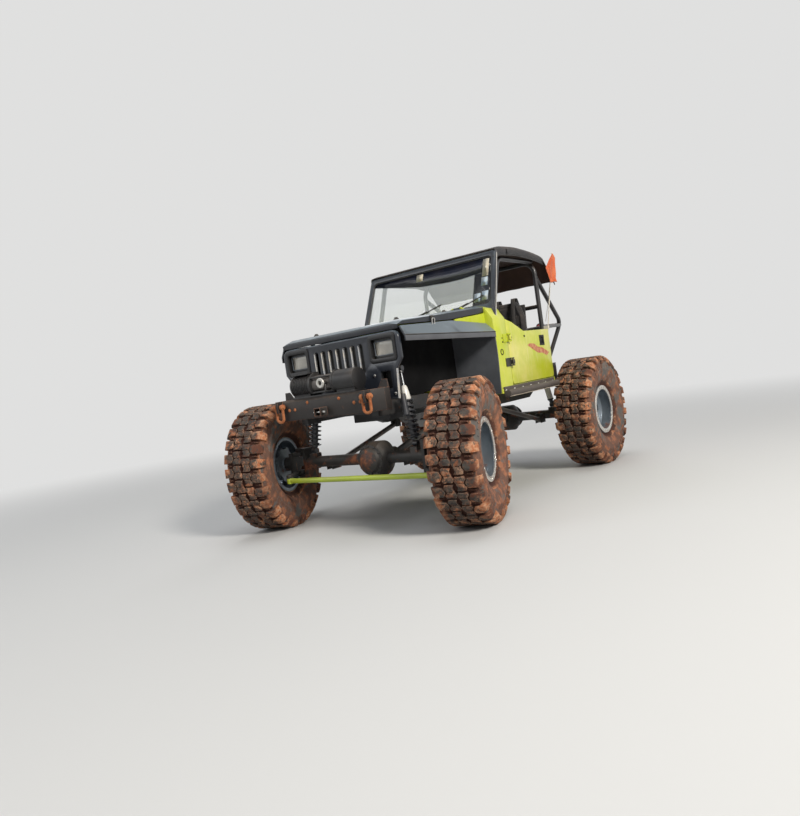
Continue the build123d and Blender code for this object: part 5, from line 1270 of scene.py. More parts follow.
@dataclass
class Suspension:
    """Coil-over shocks in place of their plain bodies."""

    repeats: Repeats
    low_x: float = 0.52
    high_x: float = 0.44
    low_z: float = 0.62917
    high_z: float = 1.200
    lean: float = 0.05
    spring_radius: float = 0.046
    wire: float = 0.0065
    # from the lower eye up to the spring's seat, and from the upper eye down to its upper seat
    spring_start: float = 0.062
    seat_drop: float = 0.262
    # shape, sides and profile of each turned part; a distance below 0 counts down from the upper eye
    front_parts: Sequence[tuple[str, int, Sequence[Pair]]] = (
        ("rods", 16, ((-0.150, 0.0080), (-0.030, 0.0080))),
        ("bodies", 28, ((-0.245, 0.033), (-0.230, 0.035), (-0.175, 0.028), (-0.142, 0.021), (-0.136, 0.016))),
        ("fittings", 24, ((0.025, 0.022), (0.030, 0.026), (-0.252, 0.027), (-0.246, 0.022))),
        ("fittings", 20, ((-0.036, 0.020), (-0.016, 0.018), (-0.004, 0.018))),
        ("fittings", 28, ((0.040, 0.030), (0.046, 0.052), (0.054, 0.055), (0.060, 0.030))),
        ("fittings", 28, ((-0.262, 0.030), (-0.258, 0.055), (-0.250, 0.055), (-0.246, 0.030))))
    rear_parts: Sequence[tuple[str, int, Sequence[Pair]]] = (
        ("rods", 16, ((-0.160, 0.0095), (-0.030, 0.0095))),
        ("bodies", 28, ((0.050, 0.024), (0.056, 0.030), (-0.160, 0.030), (-0.152, 0.022))),
        ("fittings", 24, ((0.012, 0.018), (0.046, 0.022), (0.052, 0.032), (0.064, 0.032), (0.068, 0.028))),
        ("fittings", 28, ((-0.172, 0.024), (-0.168, 0.033), (-0.150, 0.033), (-0.144, 0.020))),
        ("fittings", 24, ((-0.036, 0.012), (-0.030, 0.020), (-0.004, 0.018))))
    # clamps of the reservoir, down from the upper eye
    clamps: Pair = (0.215, 0.330)
    reservoir: Sequence[Pair] = ((-0.360, 0.020), (-0.356, 0.024), (-0.200, 0.024), (-0.196, 0.020))

    def ends(self) -> list[tuple[str, Vector, Vector]]:
        """Name, lower eye and upper eye of each shock.

        Returns:
            One row for each shock.
        """
        rows = []
        for end, y, lean in (("front", FRONT_AXLE_Y, self.lean), ("rear", REAR_AXLE_Y, -self.lean)):
            for side, sign in SIDES:
                rows.append((f"{end}_{side}", Vector((sign * self.low_x, y, self.low_z)),
                             Vector((sign * self.high_x, y + lean, self.high_z))))
        return rows

    def turned(self, shape: Shape, profile: Sequence[Pair], length: float, place: Matrix, sides: int) -> None:
        """One turned part of a damper.

        Args:
            shape: the shape that it joins.
            profile: distances along the axis and radii.
            length: between the eyes.
            place: the damper's place.
            sides: of the part.
        """
        shape.lathe([(along if along > 0.0 else length + along, radius) for along, radius in profile], place, sides)

    def build(self) -> None:
        """Bodies, rods, collars, reservoirs and front springs."""
        shapes = {"bodies": Shape(), "fittings": Shape(), "rods": Shape()}
        fittings = shapes["fittings"]
        for name, low, high in self.ends():
            axis = high - low
            length, way = axis.length, axis.normalized()
            place = Matrix.Translation(low) @ Vector((1, 0, 0)).rotation_difference(axis).to_matrix().to_4x4()
            front = name.startswith("front")
            for part, sides, profile in self.front_parts if front else self.rear_parts:
                self.turned(shapes[part], profile, length, place, sides)
            for point in (low, high):
                fittings.lathe([(-0.022, 0.012), (-0.022, 0.021), (0.022, 0.021), (0.022, 0.012)],
                               Matrix.Translation(point), 24)
            shift = Vector((math.copysign(0.020, low.x), -0.066 if front else 0.066, 0.0))
            self.turned(fittings, self.reservoir, length, Matrix.Translation(shift) @ place, 20)
            for along in self.clamps:
                point = low + way * (length - along)
                fittings.tube([point, point + shift], 0.007, sides=8)
            if front:
                stand = Vector((0, 0, 1)).rotation_difference(axis).to_matrix().to_4x4()
                self.repeats.wound("coil_spring_" + name, SPRING_DARK, "shock",
                                   Matrix.Translation(low + way * self.spring_start) @ stand, "coilovers",
                                   Turns=7.0, Radius=self.spring_radius, Wire=self.wire,
                                   Height=length - self.seat_drop - self.spring_start - 0.004)
        for part, finish in (("bodies", SHOCK_WHITE), ("fittings", SPRING_DARK), ("rods", CHROME_ROD)):
            shapes[part].fit("shock_" + part, finish, "shock", "coilovers", smooth=30.0)


@dataclass
class SoftTop:
    """Black fabric top: one stretched sheet with its hems and seams."""

    half: float = 0.705
    skirt: float = 0.062
    thick: float = 0.003
    # fall of the flat part, radius and run of the bend at its edge, radius that the cloth takes there
    crown: float = 0.004
    corner: float = 0.020
    corner_run: float = 0.031
    bend: float = 0.0199
    # distance back and height above the tub bottom along the middle
    line: Sequence[Pair] = ((1.480, 1.2768), (1.496, 1.2830), (1.560, 1.3000), (1.700, 1.3070), (1.872, 1.3115),
                            (2.030, 1.3030), (2.190, 1.2915), (2.330, 1.2750), (2.450, 1.2540), (2.500, 1.2150),
                            (2.560, 1.1500), (2.620, 1.0840), (2.684, 1.0130))
    columns: int = 56

    def section(self, share: float, drop: float) -> tuple[float, float]:
        """Across position and height for one share of the sheet's half width.

        Args:
            share: 0 in the middle, 1 at the hem.
            drop: how far the skirt hangs there.

        Returns:
            Distance from the middle and height below the roof line.
        """
        flat = self.half - self.corner
        run = share * (flat + self.corner_run + drop)
        if run <= flat:
            return run, -self.crown * (run / flat) ** 2
        turn = run - flat
        if turn < self.corner_run:
            angle = turn / self.corner
            return flat + self.bend * math.sin(angle), -self.crown - self.bend * (1.0 - math.cos(angle))
        return self.half - 0.0002, -self.crown - self.corner - (turn - self.corner_run)

    def build(self) -> None:
        """Sheet with its hems and seams."""
        rows = []
        smooth = self.samples()
        for index, (back, up) in enumerate(smooth):
            share = index / (len(smooth) - 1)
            drop = self.skirt * min(1.0, 0.15 + share * 12.0) * (1.0 if back < 2.46 else 0.25)
            sag = 0.006 * math.sin(math.pi * min(1.0, share * 2.2)) if share < 0.45 else 0.0
            row = []
            for column in range(self.columns + 1):
                across = 2.0 * column / self.columns - 1.0
                x, low = self.section(abs(across), drop)
                ripple = 0.0016 * math.sin(across * 21.0 + share * 9.0) * share
                settled = sag * (1.0 - across * across)
                row.append(body_point(math.copysign(x, across), back, up + low - settled + ripple - 0.0006))
            rows.append(row)
        roof = Shape().sheet(rows).finish("roof_canvas", ROOF_CANVAS, smooth=80.0)
        roof.data.materials.append(ROOF_LINING.material())
        thicken(roof, self.thick).material_offset = 1
        settle(roof, "chassis", "top_fabric", "soft_top")
        self.hems(rows)

    def samples(self) -> list[Pair]:
        """Finer points along the roof's side line.

        Returns:
            Distances back and heights, four for each given one.
        """
        fine = []
        for before, first, second, after in zip((self.line[0],) + tuple(self.line), self.line, self.line[1:],
                                                tuple(self.line[2:]) + (self.line[-1],)):
            for step in range(4):
                t = step / 4
                point = tuple(0.5 * (2 * b + (c - a) * t + (2 * a - 5 * b + 4 * c - d) * t * t
                                     + (3 * b - a - 3 * c + d) * t ** 3)
                              for a, b, c, d in zip(before, first, second, after))
                fine.append(point)
        fine.append(self.line[-1])
        return fine

    def hems(self, rows: Sequence[Sequence[Vector]]) -> None:
        """Rolled hems round the sheet and seams across it.

        Args:
            rows: the sheet's points, front row first.
        """
        shape = Shape()
        inward = Vector((0.0, 0.0, -0.001))
        for column in (0, -1):
            shape.tube([row[column] + inward for row in rows[2:]], 0.0032, sides=8)
        shape.tube([point + inward for point in rows[-1]], 0.0035, sides=8)
        shape.fit("roof_hems", ROOF_CANVAS, "top_fabric", smooth=60.0)
        seams = Shape()
        for index in (12, 32):
            lifted = [point + Vector((0.0, 0.0, 0.0004)) for point in rows[index]]
            near = [point + Vector((0.0, -0.009, 0.0)) for point in lifted]
            far = [point + Vector((0.0, 0.009, 0.0)) for point in lifted]
            seams.sheet([near, far])
        seams.fit("roof_seams", SEAT_VINYL, "top_fabric", smooth=60.0)


@dataclass
class Windscreen:
    """Shade band, painted shade of the cab behind the glass, blank stickers, wipers and trim of the windscreen."""

    repeats: Repeats
    # outer face of the glass behind the frame's outer face
    glass_out: float = -0.0136
    low_back: float = 1.232
    low_up: float = 0.650
    rake: float = 0.258
    rise: float = 0.612
    # across and up the slope, lower edge from the right of the vehicle to its left
    band_edge: Sequence[Pair] = ((-0.660, 0.575), (-0.420, 0.530), (-0.090, 0.470), (0.200, 0.452), (0.360, 0.452),
                                 (0.560, 0.470), (0.655, 0.468))
    # low and high corner across and up the slope, finish
    stickers: Sequence[tuple[float, float, float, float, Finish]] = (
        (-0.150, 0.530, -0.075, 0.602, STICKER_CREAM), (0.578, 0.430, 0.640, 0.600, STICKER_CREAM),
        (0.574, 0.338, 0.638, 0.420, STICKER_BLUE), (0.588, 0.196, 0.652, 0.284, STICKER_BLUE),
        (0.512, 0.190, 0.576, 0.272, STICKER_BLUE))

    def on_slope(self, x: float, along: float, out: float) -> Vector:
        """Point on the glass plane, out from the frame's outer face.

        Args:
            x: across the vehicle.
            along: up the slope from its foot.
            out: away from the frame's outer face.

        Returns:
            The point.
        """
        length = math.hypot(self.rake, self.rise)
        slope_back, slope_up = self.rake / length, self.rise / length
        return body_point(x, self.low_back + slope_back * along - slope_up * out,
                          self.low_up + slope_up * along + slope_back * out)

    def film(self, name: str, finish: Finish, low: Sequence[Pair], high: Sequence[Pair], lift: float = 0.0,
             thick: float = 0.0006) -> None:
        """Thin film on the glass.

        Args:
            name: the piece's name.
            finish: its material.
            low: its lower edge, across and up the slope.
            high: its upper edge.
            lift: how far it stands off the glass.
            thick: its thickness.
        """
        rows = [[self.on_slope(x, along, self.glass_out + lift) for x, along in edge] for edge in (low, high)]
        film = Shape().sheet(rows).finish(name, finish)
        thicken(film, thick)
        settle(film, "chassis", "glass")

    def build(self) -> None:
        """Everything on the windscreen."""
        top = [(x, 0.6165) for x, _ in self.band_edge]
        self.film("shade_band", SHADE_BAND, self.band_edge, top)
        # dark film on the glass's left side: painted shade of the cab behind it
        self.film("side_tint", CAB_SHADE_FILM, ((0.500, 0.158), (0.683, 0.158)), ((0.500, 0.466), (0.666, 0.466)))
        for index, (left, bottom, right, high, finish) in enumerate(self.stickers):
            self.film(f"blank_sticker_{index}", finish, ((left, bottom), (right, bottom)),
                      ((left, high), (right, high)), 0.0009, 0.0004)
        self.wipers()
        self.seal()
        bolts = [self.on_slope(side * x, along, 0.0) for side in (-1, 1) for x, along in
                 ((0.715, 0.06), (0.712, 0.12), (0.690, 0.60), (0.420, 0.045), (0.120, 0.045))]
        out = self.on_slope(0, 0, 1) - self.on_slope(0, 0, 0)
        self.repeats.bolts("screen_bolts", "body_black", bolts, out, 0.006, 0.005, DARK_BOLT)

    def seal(self) -> None:
        """Rubber seal round the glass and a bright strip down each side of the frame."""
        rubber = Shape()
        corners = ((-0.686, 0.154), (0.686, 0.154), (0.660, 0.614), (-0.660, 0.614), (-0.686, 0.154))
        middle = [self.on_slope(x, along, -0.0112) for x, along in corners]
        start = (middle[0] + middle[1]) / 2
        rubber.tube([start, *middle[1:-1], middle[0], start - Vector((0.004, 0, 0))], 0.0042, bend=0.04, sides=8)
        rubber.fit("screen_seal", HOSE_RUBBER, "body_black", smooth=60.0)
        strip = Shape()
        for side in (1, -1):
            strip.tube([self.on_slope(side * 0.7425, 0.02, -0.017), self.on_slope(side * 0.7085, 0.64, -0.017)],
                       0.0045, sides=8)
        strip.fit("screen_edge_strips", RING_STEEL, "body_black")

    def wipers(self) -> None:
        """Two wipers parked low on the glass."""
        arms = Shape()
        for pivot, tip in ((-0.30, 0.02), (0.16, 0.46)):
            foot = self.on_slope(pivot, 0.085, 0.004)
            end = self.on_slope(tip, 0.190, 0.004)
            arms.lathe([(-0.012, 0.012), (0.004, 0.012), (0.008, 0.008)], level(foot, 90), 16)
            arms.tube([foot, foot.lerp(end, 0.4) + Vector((0, -0.006, 0.004)), end], 0.0035, bend=0.05, sides=8)
            way = (end - foot).normalized() * 0.17
            drop = self.on_slope(0, 0, -0.012) - self.on_slope(0, 0, 0)
            arms.tube([end - way + drop, end + way * 0.9 + drop], 0.0048, sides=8)
        arms.fit("wipers", HOSE_RUBBER, "body_black", smooth=50.0)


@dataclass
class Cab:
    """Padded seats with their stands, gauges, levers, mats and harness in the cab."""

    repeats: Repeats
    seat_x: float = 0.36
    dash_face: float = 1.4542
    # just above the tub's floor
    floor: float = 0.0205

    def pad(self, name: str, rings: Sequence[Sequence[Vector]], channels: float, cap: float) -> bpy.types.Object:
        """Stuffed pad from rings of points, swollen by a short simulation.

        Args:
            name: the piece's name.
            rings: closed outlines from one end of the pad to the other.
            channels: how deep the sewn channels are.
            cap: the most that a point may move.

        Returns:
            The pad.
        """
        pad = Shape().faces(rings).finish(name, SEAT_CLOTH, smooth=60.0)
        remesh = pad.modifiers.new("voxels", "REMESH")
        remesh.mode, remesh.voxel_size = "VOXEL", 0.011
        self.apply(pad)
        rest = [vertex.co.copy() for vertex in pad.data.vertices]
        self.swell(pad, rest, cap)
        self.sew(pad, rest, channels)
        self.smoothen(pad)
        pad.data.shade_smooth()
        return pad

    def smoothen(self, pad: bpy.types.Object) -> None:
        """Split the pad's faces once for a smoother cloth."""
        finer = pad.modifiers.new("finer", "SUBSURF")
        finer.levels = finer.render_levels = 1

    def apply(self, piece: bpy.types.Object) -> None:
        """Replace the piece's mesh by its evaluated one and drop the modifiers.

        Args:
            piece: the piece.
        """
        mesh, old = baked(piece), piece.data
        piece.modifiers.clear()
        piece.data = mesh
        bpy.data.meshes.remove(old)
        if not mesh.materials:
            mesh.materials.append(SEAT_CLOTH.material())

    def swell(self, pad: bpy.types.Object, rest: Sequence[Vector], cap: float) -> None:
        """Blow the pad up under its cloth.

        Args:
            pad: the pad.
            rest: its points before.
            cap: the most that a point may move.
        """
        scene = bpy.context.scene
        cloth = pad.modifiers.new("cloth", "CLOTH")
        cloth.settings.use_pressure = True
        cloth.settings.uniform_pressure_force = 4.0
        cloth.settings.quality = 5
        cloth.settings.effector_weights.gravity = 0.0
        cloth.point_cache.frame_start, cloth.point_cache.frame_end = 1, 16
        for frame in range(1, 17):
            scene.frame_set(frame)
        self.apply(pad)
        scene.frame_set(1)
        for vertex, before in zip(pad.data.vertices, rest):
            move = vertex.co - before
            if move.length > cap:
                vertex.co = before + move.normalized() * cap

    def sew(self, pad: bpy.types.Object, rest: Sequence[Vector], depth: float) -> None:
        """Press sewn channels across the pad's face.

        Args:
            pad: the pad.
            rest: its points before it was swollen.
            depth: of a channel.
        """
        box = [Vector(map(min, *rest)), Vector(map(max, *rest))]
        centre = (box[0] + box[1]) / 2
        tall = box[1].z - box[0].z > 0.35
        low, high = (box[0].z, box[1].z) if tall else (box[0].y, box[1].y)
        for vertex, before in zip(pad.data.vertices, rest):
            run = ((before.z if tall else before.y) - low) / (high - low)
            across = abs(before.x - centre.x) / (box[1].x - centre.x)
            if across > 0.72:
                continue
            groove = math.exp(-((run * 6.0) % 1.0 - 0.5) ** 2 / 0.006)
            groove = max(groove, math.exp(-((across - 0.66) / 0.035) ** 2))
            vertex.co -= vertex.normal * depth * groove

    def seat(self) -> None:
        """Pads of both bucket seats; the right ones are copies of the left."""
        cushion = []
        # share of the way from the front of the cushion to its rear
        for share in (0.0, 0.12, 0.5, 0.88, 1.0):
            back = 1.778 + share * 0.40
            inset = 0.030 if share in (0.0, 1.0) else 0.006
            top = 0.335 - 0.045 * share
            half = 0.225 - inset
            ring = [(-half, 0.206), (half, 0.206), (half, top - inset), (half - 0.055, top + 0.006 - inset),
                    (half - 0.085, top - 0.020 - inset), (-half + 0.085, top - 0.020 - inset),
                    (-half + 0.055, top + 0.006 - inset), (-half, top - inset)]
            cushion.append([body_point(self.seat_x + a, back, b) for a, b in ring])
        rest = []
        # share of the way up the backrest, half width there
        for share, half in ((0.0, 0.205), (0.10, 0.218), (0.35, 0.222), (0.70, 0.205), (0.90, 0.165), (1.0, 0.120)):
            up = 0.262 + share * 0.585
            lean = 2.132 + share * 0.088
            thick = 0.082 - 0.014 * share
            ring = [(-half, 0.022), (-half + 0.03, -0.004), (-half + 0.075, 0.020), (half - 0.075, 0.020),
                    (half - 0.03, -0.004), (half, 0.022), (half - 0.02, thick), (-half + 0.02, thick)]
            rest.append([body_point(self.seat_x + a, lean + b, up) for a, b in ring])
        pads = [self.pad("seat_cushion_left", cushion, 0.006, 0.014), self.pad("seat_back_left", rest, 0.006, 0.012)]
        flip = Matrix.Diagonal((-1.0, 1.0, 1.0, 1.0))
        for pad in pads:
            twin = shown(pad.name.replace("left", "right"), pad.data.copy())
            twin.data.transform(flip)
            twin.data.flip_normals()
            self.smoothen(twin)
            for piece in (pad, twin):
                settle(piece, "chassis", "seat_fabric", "seats")

    def stands(self) -> None:
        """Runners, legs and pan under each seat and the shell behind its back."""
        stand, shell = Shape(), Shape()
        for centre in (-self.seat_x, self.seat_x):
            for edge in (-0.14, 0.14):
                stand.body_block((centre + edge - 0.018, 1.82, self.floor), (centre + edge + 0.018, 2.17, 0.05))
                for back in (1.87, 2.11):
                    stand.bar([(centre + edge, back, 0.045), (centre + edge, back, 0.19)], 0.012)
            stand.body_block((centre - 0.17, 1.83, 0.180), (centre + 0.17, 2.15, 0.202))
            shell.prism(outline(((2.205, 0.215), (2.222, 0.215), (2.284, 0.800), (2.262, 0.800))), Axis.X,
                        centre - 0.18, centre + 0.18)
        stand.fit("seat_stands", FRAME_BLACK, "seat_fabric", "seats", bevel=0.002)
        shell.fit("seat_shells", DASH_PLASTIC, "seat_fabric", "seats", bevel=0.006)

    def harness(self) -> None:
        """Flat shoulder and lap belts on both seats."""
        belts = Shape()
        for side in (-1, 1):
            for shift in (-0.09, 0.09):
                x = side * self.seat_x + shift
                line = [(2.322, 0.782), (2.300, 0.800), (2.262, 0.872), (2.215, 0.872), (2.178, 0.780), (2.140, 0.560),
                        (2.098, 0.400), (2.052, 0.342)]
                rows = [[body_point(x - 0.024, back, up), body_point(x + 0.024, back, up)] for back, up in line]
                belts.sheet(rows)
        thicken(belts.fit("harness_webs", WEBBING, "seat_fabric", smooth=50.0), 0.0025, 0.0)
        buckle = Shape()
        for side in (-1, 1):
            buckle.lathe([(-0.012, 0.034), (0.006, 0.034), (0.010, 0.024)],
                         upright(body_point(side * self.seat_x, 2.040, 0.345)), 24)
        buckle.fit("harness_buckles", DARK_BOLT, "seat_fabric", smooth=30.0)

    def gauges(self) -> None:
        """Gauges in front of the driver and a row in the middle of the dash."""
        rims, faces, marks = Shape(), Shape(), []
        # across, up, radius
        rows = ((0.255, 0.560, 0.044), (0.465, 0.560, 0.044), (0.045, 0.580, 0.026), (-0.025, 0.580, 0.026),
                (-0.095, 0.580, 0.026), (0.045, 0.505, 0.026), (-0.025, 0.505, 0.026), (-0.095, 0.505, 0.026))
        for index, (x, up, radius) in enumerate(rows):
            place = level(body_point(x, self.dash_face, up), 90)
            rims.lathe([(-0.002, radius), (-0.002, radius + 0.006), (0.008, radius + 0.005), (0.010, radius)],
                       place, 32, closed=True)
            faces.lathe([(-0.002, radius), (0.003, radius), (0.003, 0.0005)], place, 32)
            tick = Shape().block((0.0032, -0.0011, radius * 0.74), (0.0042, 0.0011, radius * 0.95))
            marks.append(self.repeats.ring.run(tick.finish("tick", DIAL_WHITE), f"gauge_marks_{index}", DIAL_WHITE,
                                               {"Count": 16}, place))
            needle = Shape().block((0.0040, -0.0012, -radius * 0.15), (0.0052, 0.0012, radius * 0.7))
            marks.append(needle.finish(f"gauge_needle_{index}", FLAG_ORANGE,
                                       place=place @ Matrix.Rotation(-1.9 + index * 0.37, 4, "X")))
        rims.fit("gauge_rims", BOLT_STEEL, "dash", smooth=40.0)
        faces.fit("gauge_faces", DIAL_BLACK, "dash", smooth=40.0)
        for mark in marks:
            settle(mark, "chassis", "dash")

    def controls(self) -> None:
        """Gear and transfer levers with ribbed boots, grab bar and floor mats."""
        boots, levers, mats = Shape(), Shape(), Shape()
        # foot across and back, height of the knob and its lean
        for x, back, tall, lean in ((0.02, 1.585, 0.36, 0.05), (0.10, 1.690, 0.24, -0.03)):
            foot = body_point(x, back, 0.021)
            boots.lathe([(0.0, 0.062), (0.012, 0.060), (0.022, 0.046), (0.032, 0.050), (0.044, 0.036), (0.054, 0.040),
                         (0.068, 0.026), (0.078, 0.029), (0.095, 0.012)], upright(foot), 24)
            top = body_point(x, back + lean, tall)
            levers.tube([foot, foot.lerp(top, 0.5), top], 0.0075, bend=0.08)
            levers.lathe([(-0.026, 0.010), (-0.014, 0.021), (0.004, 0.026), (0.020, 0.021), (0.028, 0.006)],
                         upright(top), 24)
        grab = ((-0.58, self.dash_face), (-0.58, 1.500), (-0.34, 1.500), (-0.34, self.dash_face))
        levers.bar([(x, back, 0.545) for x, back in grab], 0.010, bend=0.03)
        for middle in (-0.38, 0.38):
            mats.body_block((middle - 0.22, 1.20, self.floor), (middle + 0.22, 1.76, 0.028))
        boots.fit("lever_boots", HOSE_RUBBER, "dash", smooth=60.0)
        levers.fit("levers", DARK_BOLT, "dash", smooth=50.0)
        mats.fit("floor_mats", MAT_RUBBER, "dash", bevel=0.004)

    def build(self) -> None:
        """Everything in the cab."""
        self.seat()
        self.stands()
        self.harness()
        self.gauges()
        self.controls()


@dataclass
class Body:
    """Trim on the hood, fenders, tub and doors."""

    repeats: Repeats
    skin: float = 0.762

    def doors(self) -> None:
        """Handles, faded flash stripes and bolts of both doors."""
        # distance back and height of the stripe's corners
        flash = ((1.737, 0.388), (1.800, 0.402), (1.887, 0.395), (1.960, 0.362), (2.050, 0.352), (2.193, 0.300),
                 (2.138, 0.272), (2.040, 0.300), (1.947, 0.307), (1.850, 0.345))
        for name, side in SIDES:
            body = "door_" + name
            outer = side * self.skin
            stripe = Shape().prism(outline(flash), Axis.X, outer, outer + side * 0.0007)
            stripe.fit("door_flash_" + name, FLASH_RED, "body_lime", body=body)
            handle = Shape()
            handle.body_block((outer - side * 0.0118, 2.036, 0.394), (outer - side * 0.0108, 2.092, 0.448))
            handle.body_block((outer - side * 0.010, 2.044, 0.416), (outer - side * 0.003, 2.084, 0.440))
            for low, high in (((2.012, 0.372), (2.0345, 0.470)), ((2.0935, 0.372), (2.116, 0.470)),
                              ((2.032, 0.372), (2.096, 0.3925)), ((2.032, 0.4495), (2.096, 0.470))):
                handle.body_block((outer - side * 0.0002, *low), (outer + side * 0.0016, *high))
            handle.fit("door_handle_" + name, BLACK_AND_HOLE_SHADE, "hinge", body=body, bevel=0.0005)
            points = [body_point(outer, back, up) for back, up in ((1.400, 0.258), (1.430, 0.258), (1.400, 0.470),
                                                                   (1.430, 0.470))]
            points = [point + Vector((side * 0.007, 0, 0)) for point in points]
            self.repeats.bolts("door_bolts_" + name, "hinge", points, (side, 0, 0), 0.007, 0.006, DARK_BOLT, body=body)
            button = Shape().lathe([(0.0, 0.010), (0.004, 0.010), (0.006, 0.006)],
                                   outward(body_point(outer, 1.701, 0.472), side), 16)
            button.fit("door_button_" + name, BLACK_AND_HOLE_SHADE, "hinge", body=body, smooth=30.0)

    def sides(self) -> None:
        """Holes drawn as dark discs of painted shade, rings and rivets on the cowl's sides and along the sills."""
        for name, side in SIDES:
            ring = Shape().lathe([(0.0, 0.019), (0.0, 0.027), (0.004, 0.026), (0.005, 0.020)],
                                 outward(body_point(side * self.skin, 1.237, 0.351), side), 32, closed=True)
            ring.fit("cowl_ring_" + name, BLACK_AND_HOLE_SHADE, "hinge", smooth=40.0)
            # dark discs that paint the shade of holes
            dots = Shape()
            for back, up in ((1.272, 0.470), (1.271, 0.436)):
                dots.lathe([(0.0, 0.007), (0.002, 0.007), (0.003, 0.004)],
                           outward(body_point(side * self.skin, back, up), side), 14)
            dots.fit("cowl_dots_" + name, BLACK_AND_HOLE_SHADE, "hinge", smooth=30.0)
            rivets = [body_point(side * self.skin, 1.17 + step * 0.105, 0.046) for step in range(11)]
            self.repeats.bolts("sill_rivets_" + name, "hinge", rivets, (side, 0, 0), 0.0045, 0.003, DARK_BOLT, 10)
            plate = [body_point(side * (self.skin + 0.012), 1.20 + step * 0.16, 0.022) for step in range(7)]
            self.repeats.bolts("slider_bolts_" + name, "slider", plate, (side, 0, 0), 0.008, 0.006)

    def hood_trim(self) -> None:
        """Side latches with their pads and round rubber stops on the hood."""
        latches, stops = Shape(), Shape()
        for side in (-1, 1):
            stops.body_block((side * 0.622, 0.40, 0.640), (side * 0.640, 0.44, 0.700))
            loop = ((0.641, 0.402, 0.628), (0.646, 0.402, 0.676), (0.646, 0.438, 0.676), (0.641, 0.438, 0.628))
            latches.bar([(side * x, back, up) for x, back, up in loop], 0.004, bend=0.01, sides=8)
            for back in (0.25, 0.95):
                top = 0.688 + 0.077 * (back - 0.07) / 1.074
                stops.lathe([(0.0, 0.022), (0.008, 0.022), (0.016, 0.014), (0.022, 0.012)],
                            upright(body_point(side * 0.42, back, top)), 20)
        stops.fit("hood_stops", HOSE_RUBBER, "body_black", body="hood", bevel=0.002)
        latches.fit("hood_latches", BOLT_STEEL, "body_black", body="hood", smooth=50.0)

    def fender_beads(self) -> None:
        """Black bead along each fender's outer edge."""
        beads = Shape()
        for side in (-1, 1):
            line = ((0.640, 0.030, 0.5635), (0.716, 0.660, 0.5445), (0.775, 1.148, 0.5295))
            beads.bar([(side * (x - 0.001), back, up) for x, back, up in line], 0.0042, sides=10)
        beads.fit("fender_beads", HOSE_RUBBER, "body_black", smooth=60.0)

    def slider_lips(self) -> None:
        """Pale line low on each slider tube: dirt, with a painted highlight along its lower edge."""
        lips = Shape()
        for side in (-1, 1):
            lips.bar([(side * 0.8145, back, -0.0295) for back in (1.180, 2.196)], 0.0042, sides=8)
        lips.fit("slider_lips", SLIDER_DIRT_AND_HIGHLIGHT, "slider", smooth=60.0)

    def cowl_vent(self) -> None:
        """Vent slots across the cowl in front of the windscreen: thin dark blocks of painted shade."""
        # each slot is a thin dark block: painted shade
        slot = Shape().body_block((-0.215, 1.176, 0.7646), (-0.203, 1.214, 0.7668))
        self.repeats.many(self.repeats.row, slot, "cowl_vent", BLACK_AND_HOLE_SHADE, "body_lime", bevel=0.001, Count=24,
                          Step=(0.018, 0.0, 0.0))

    def build(self) -> None:
        """All body trim."""
        self.doors()
        self.sides()
        self.hood_trim()
        self.fender_beads()
        self.slider_lips()
        self.cowl_vent()


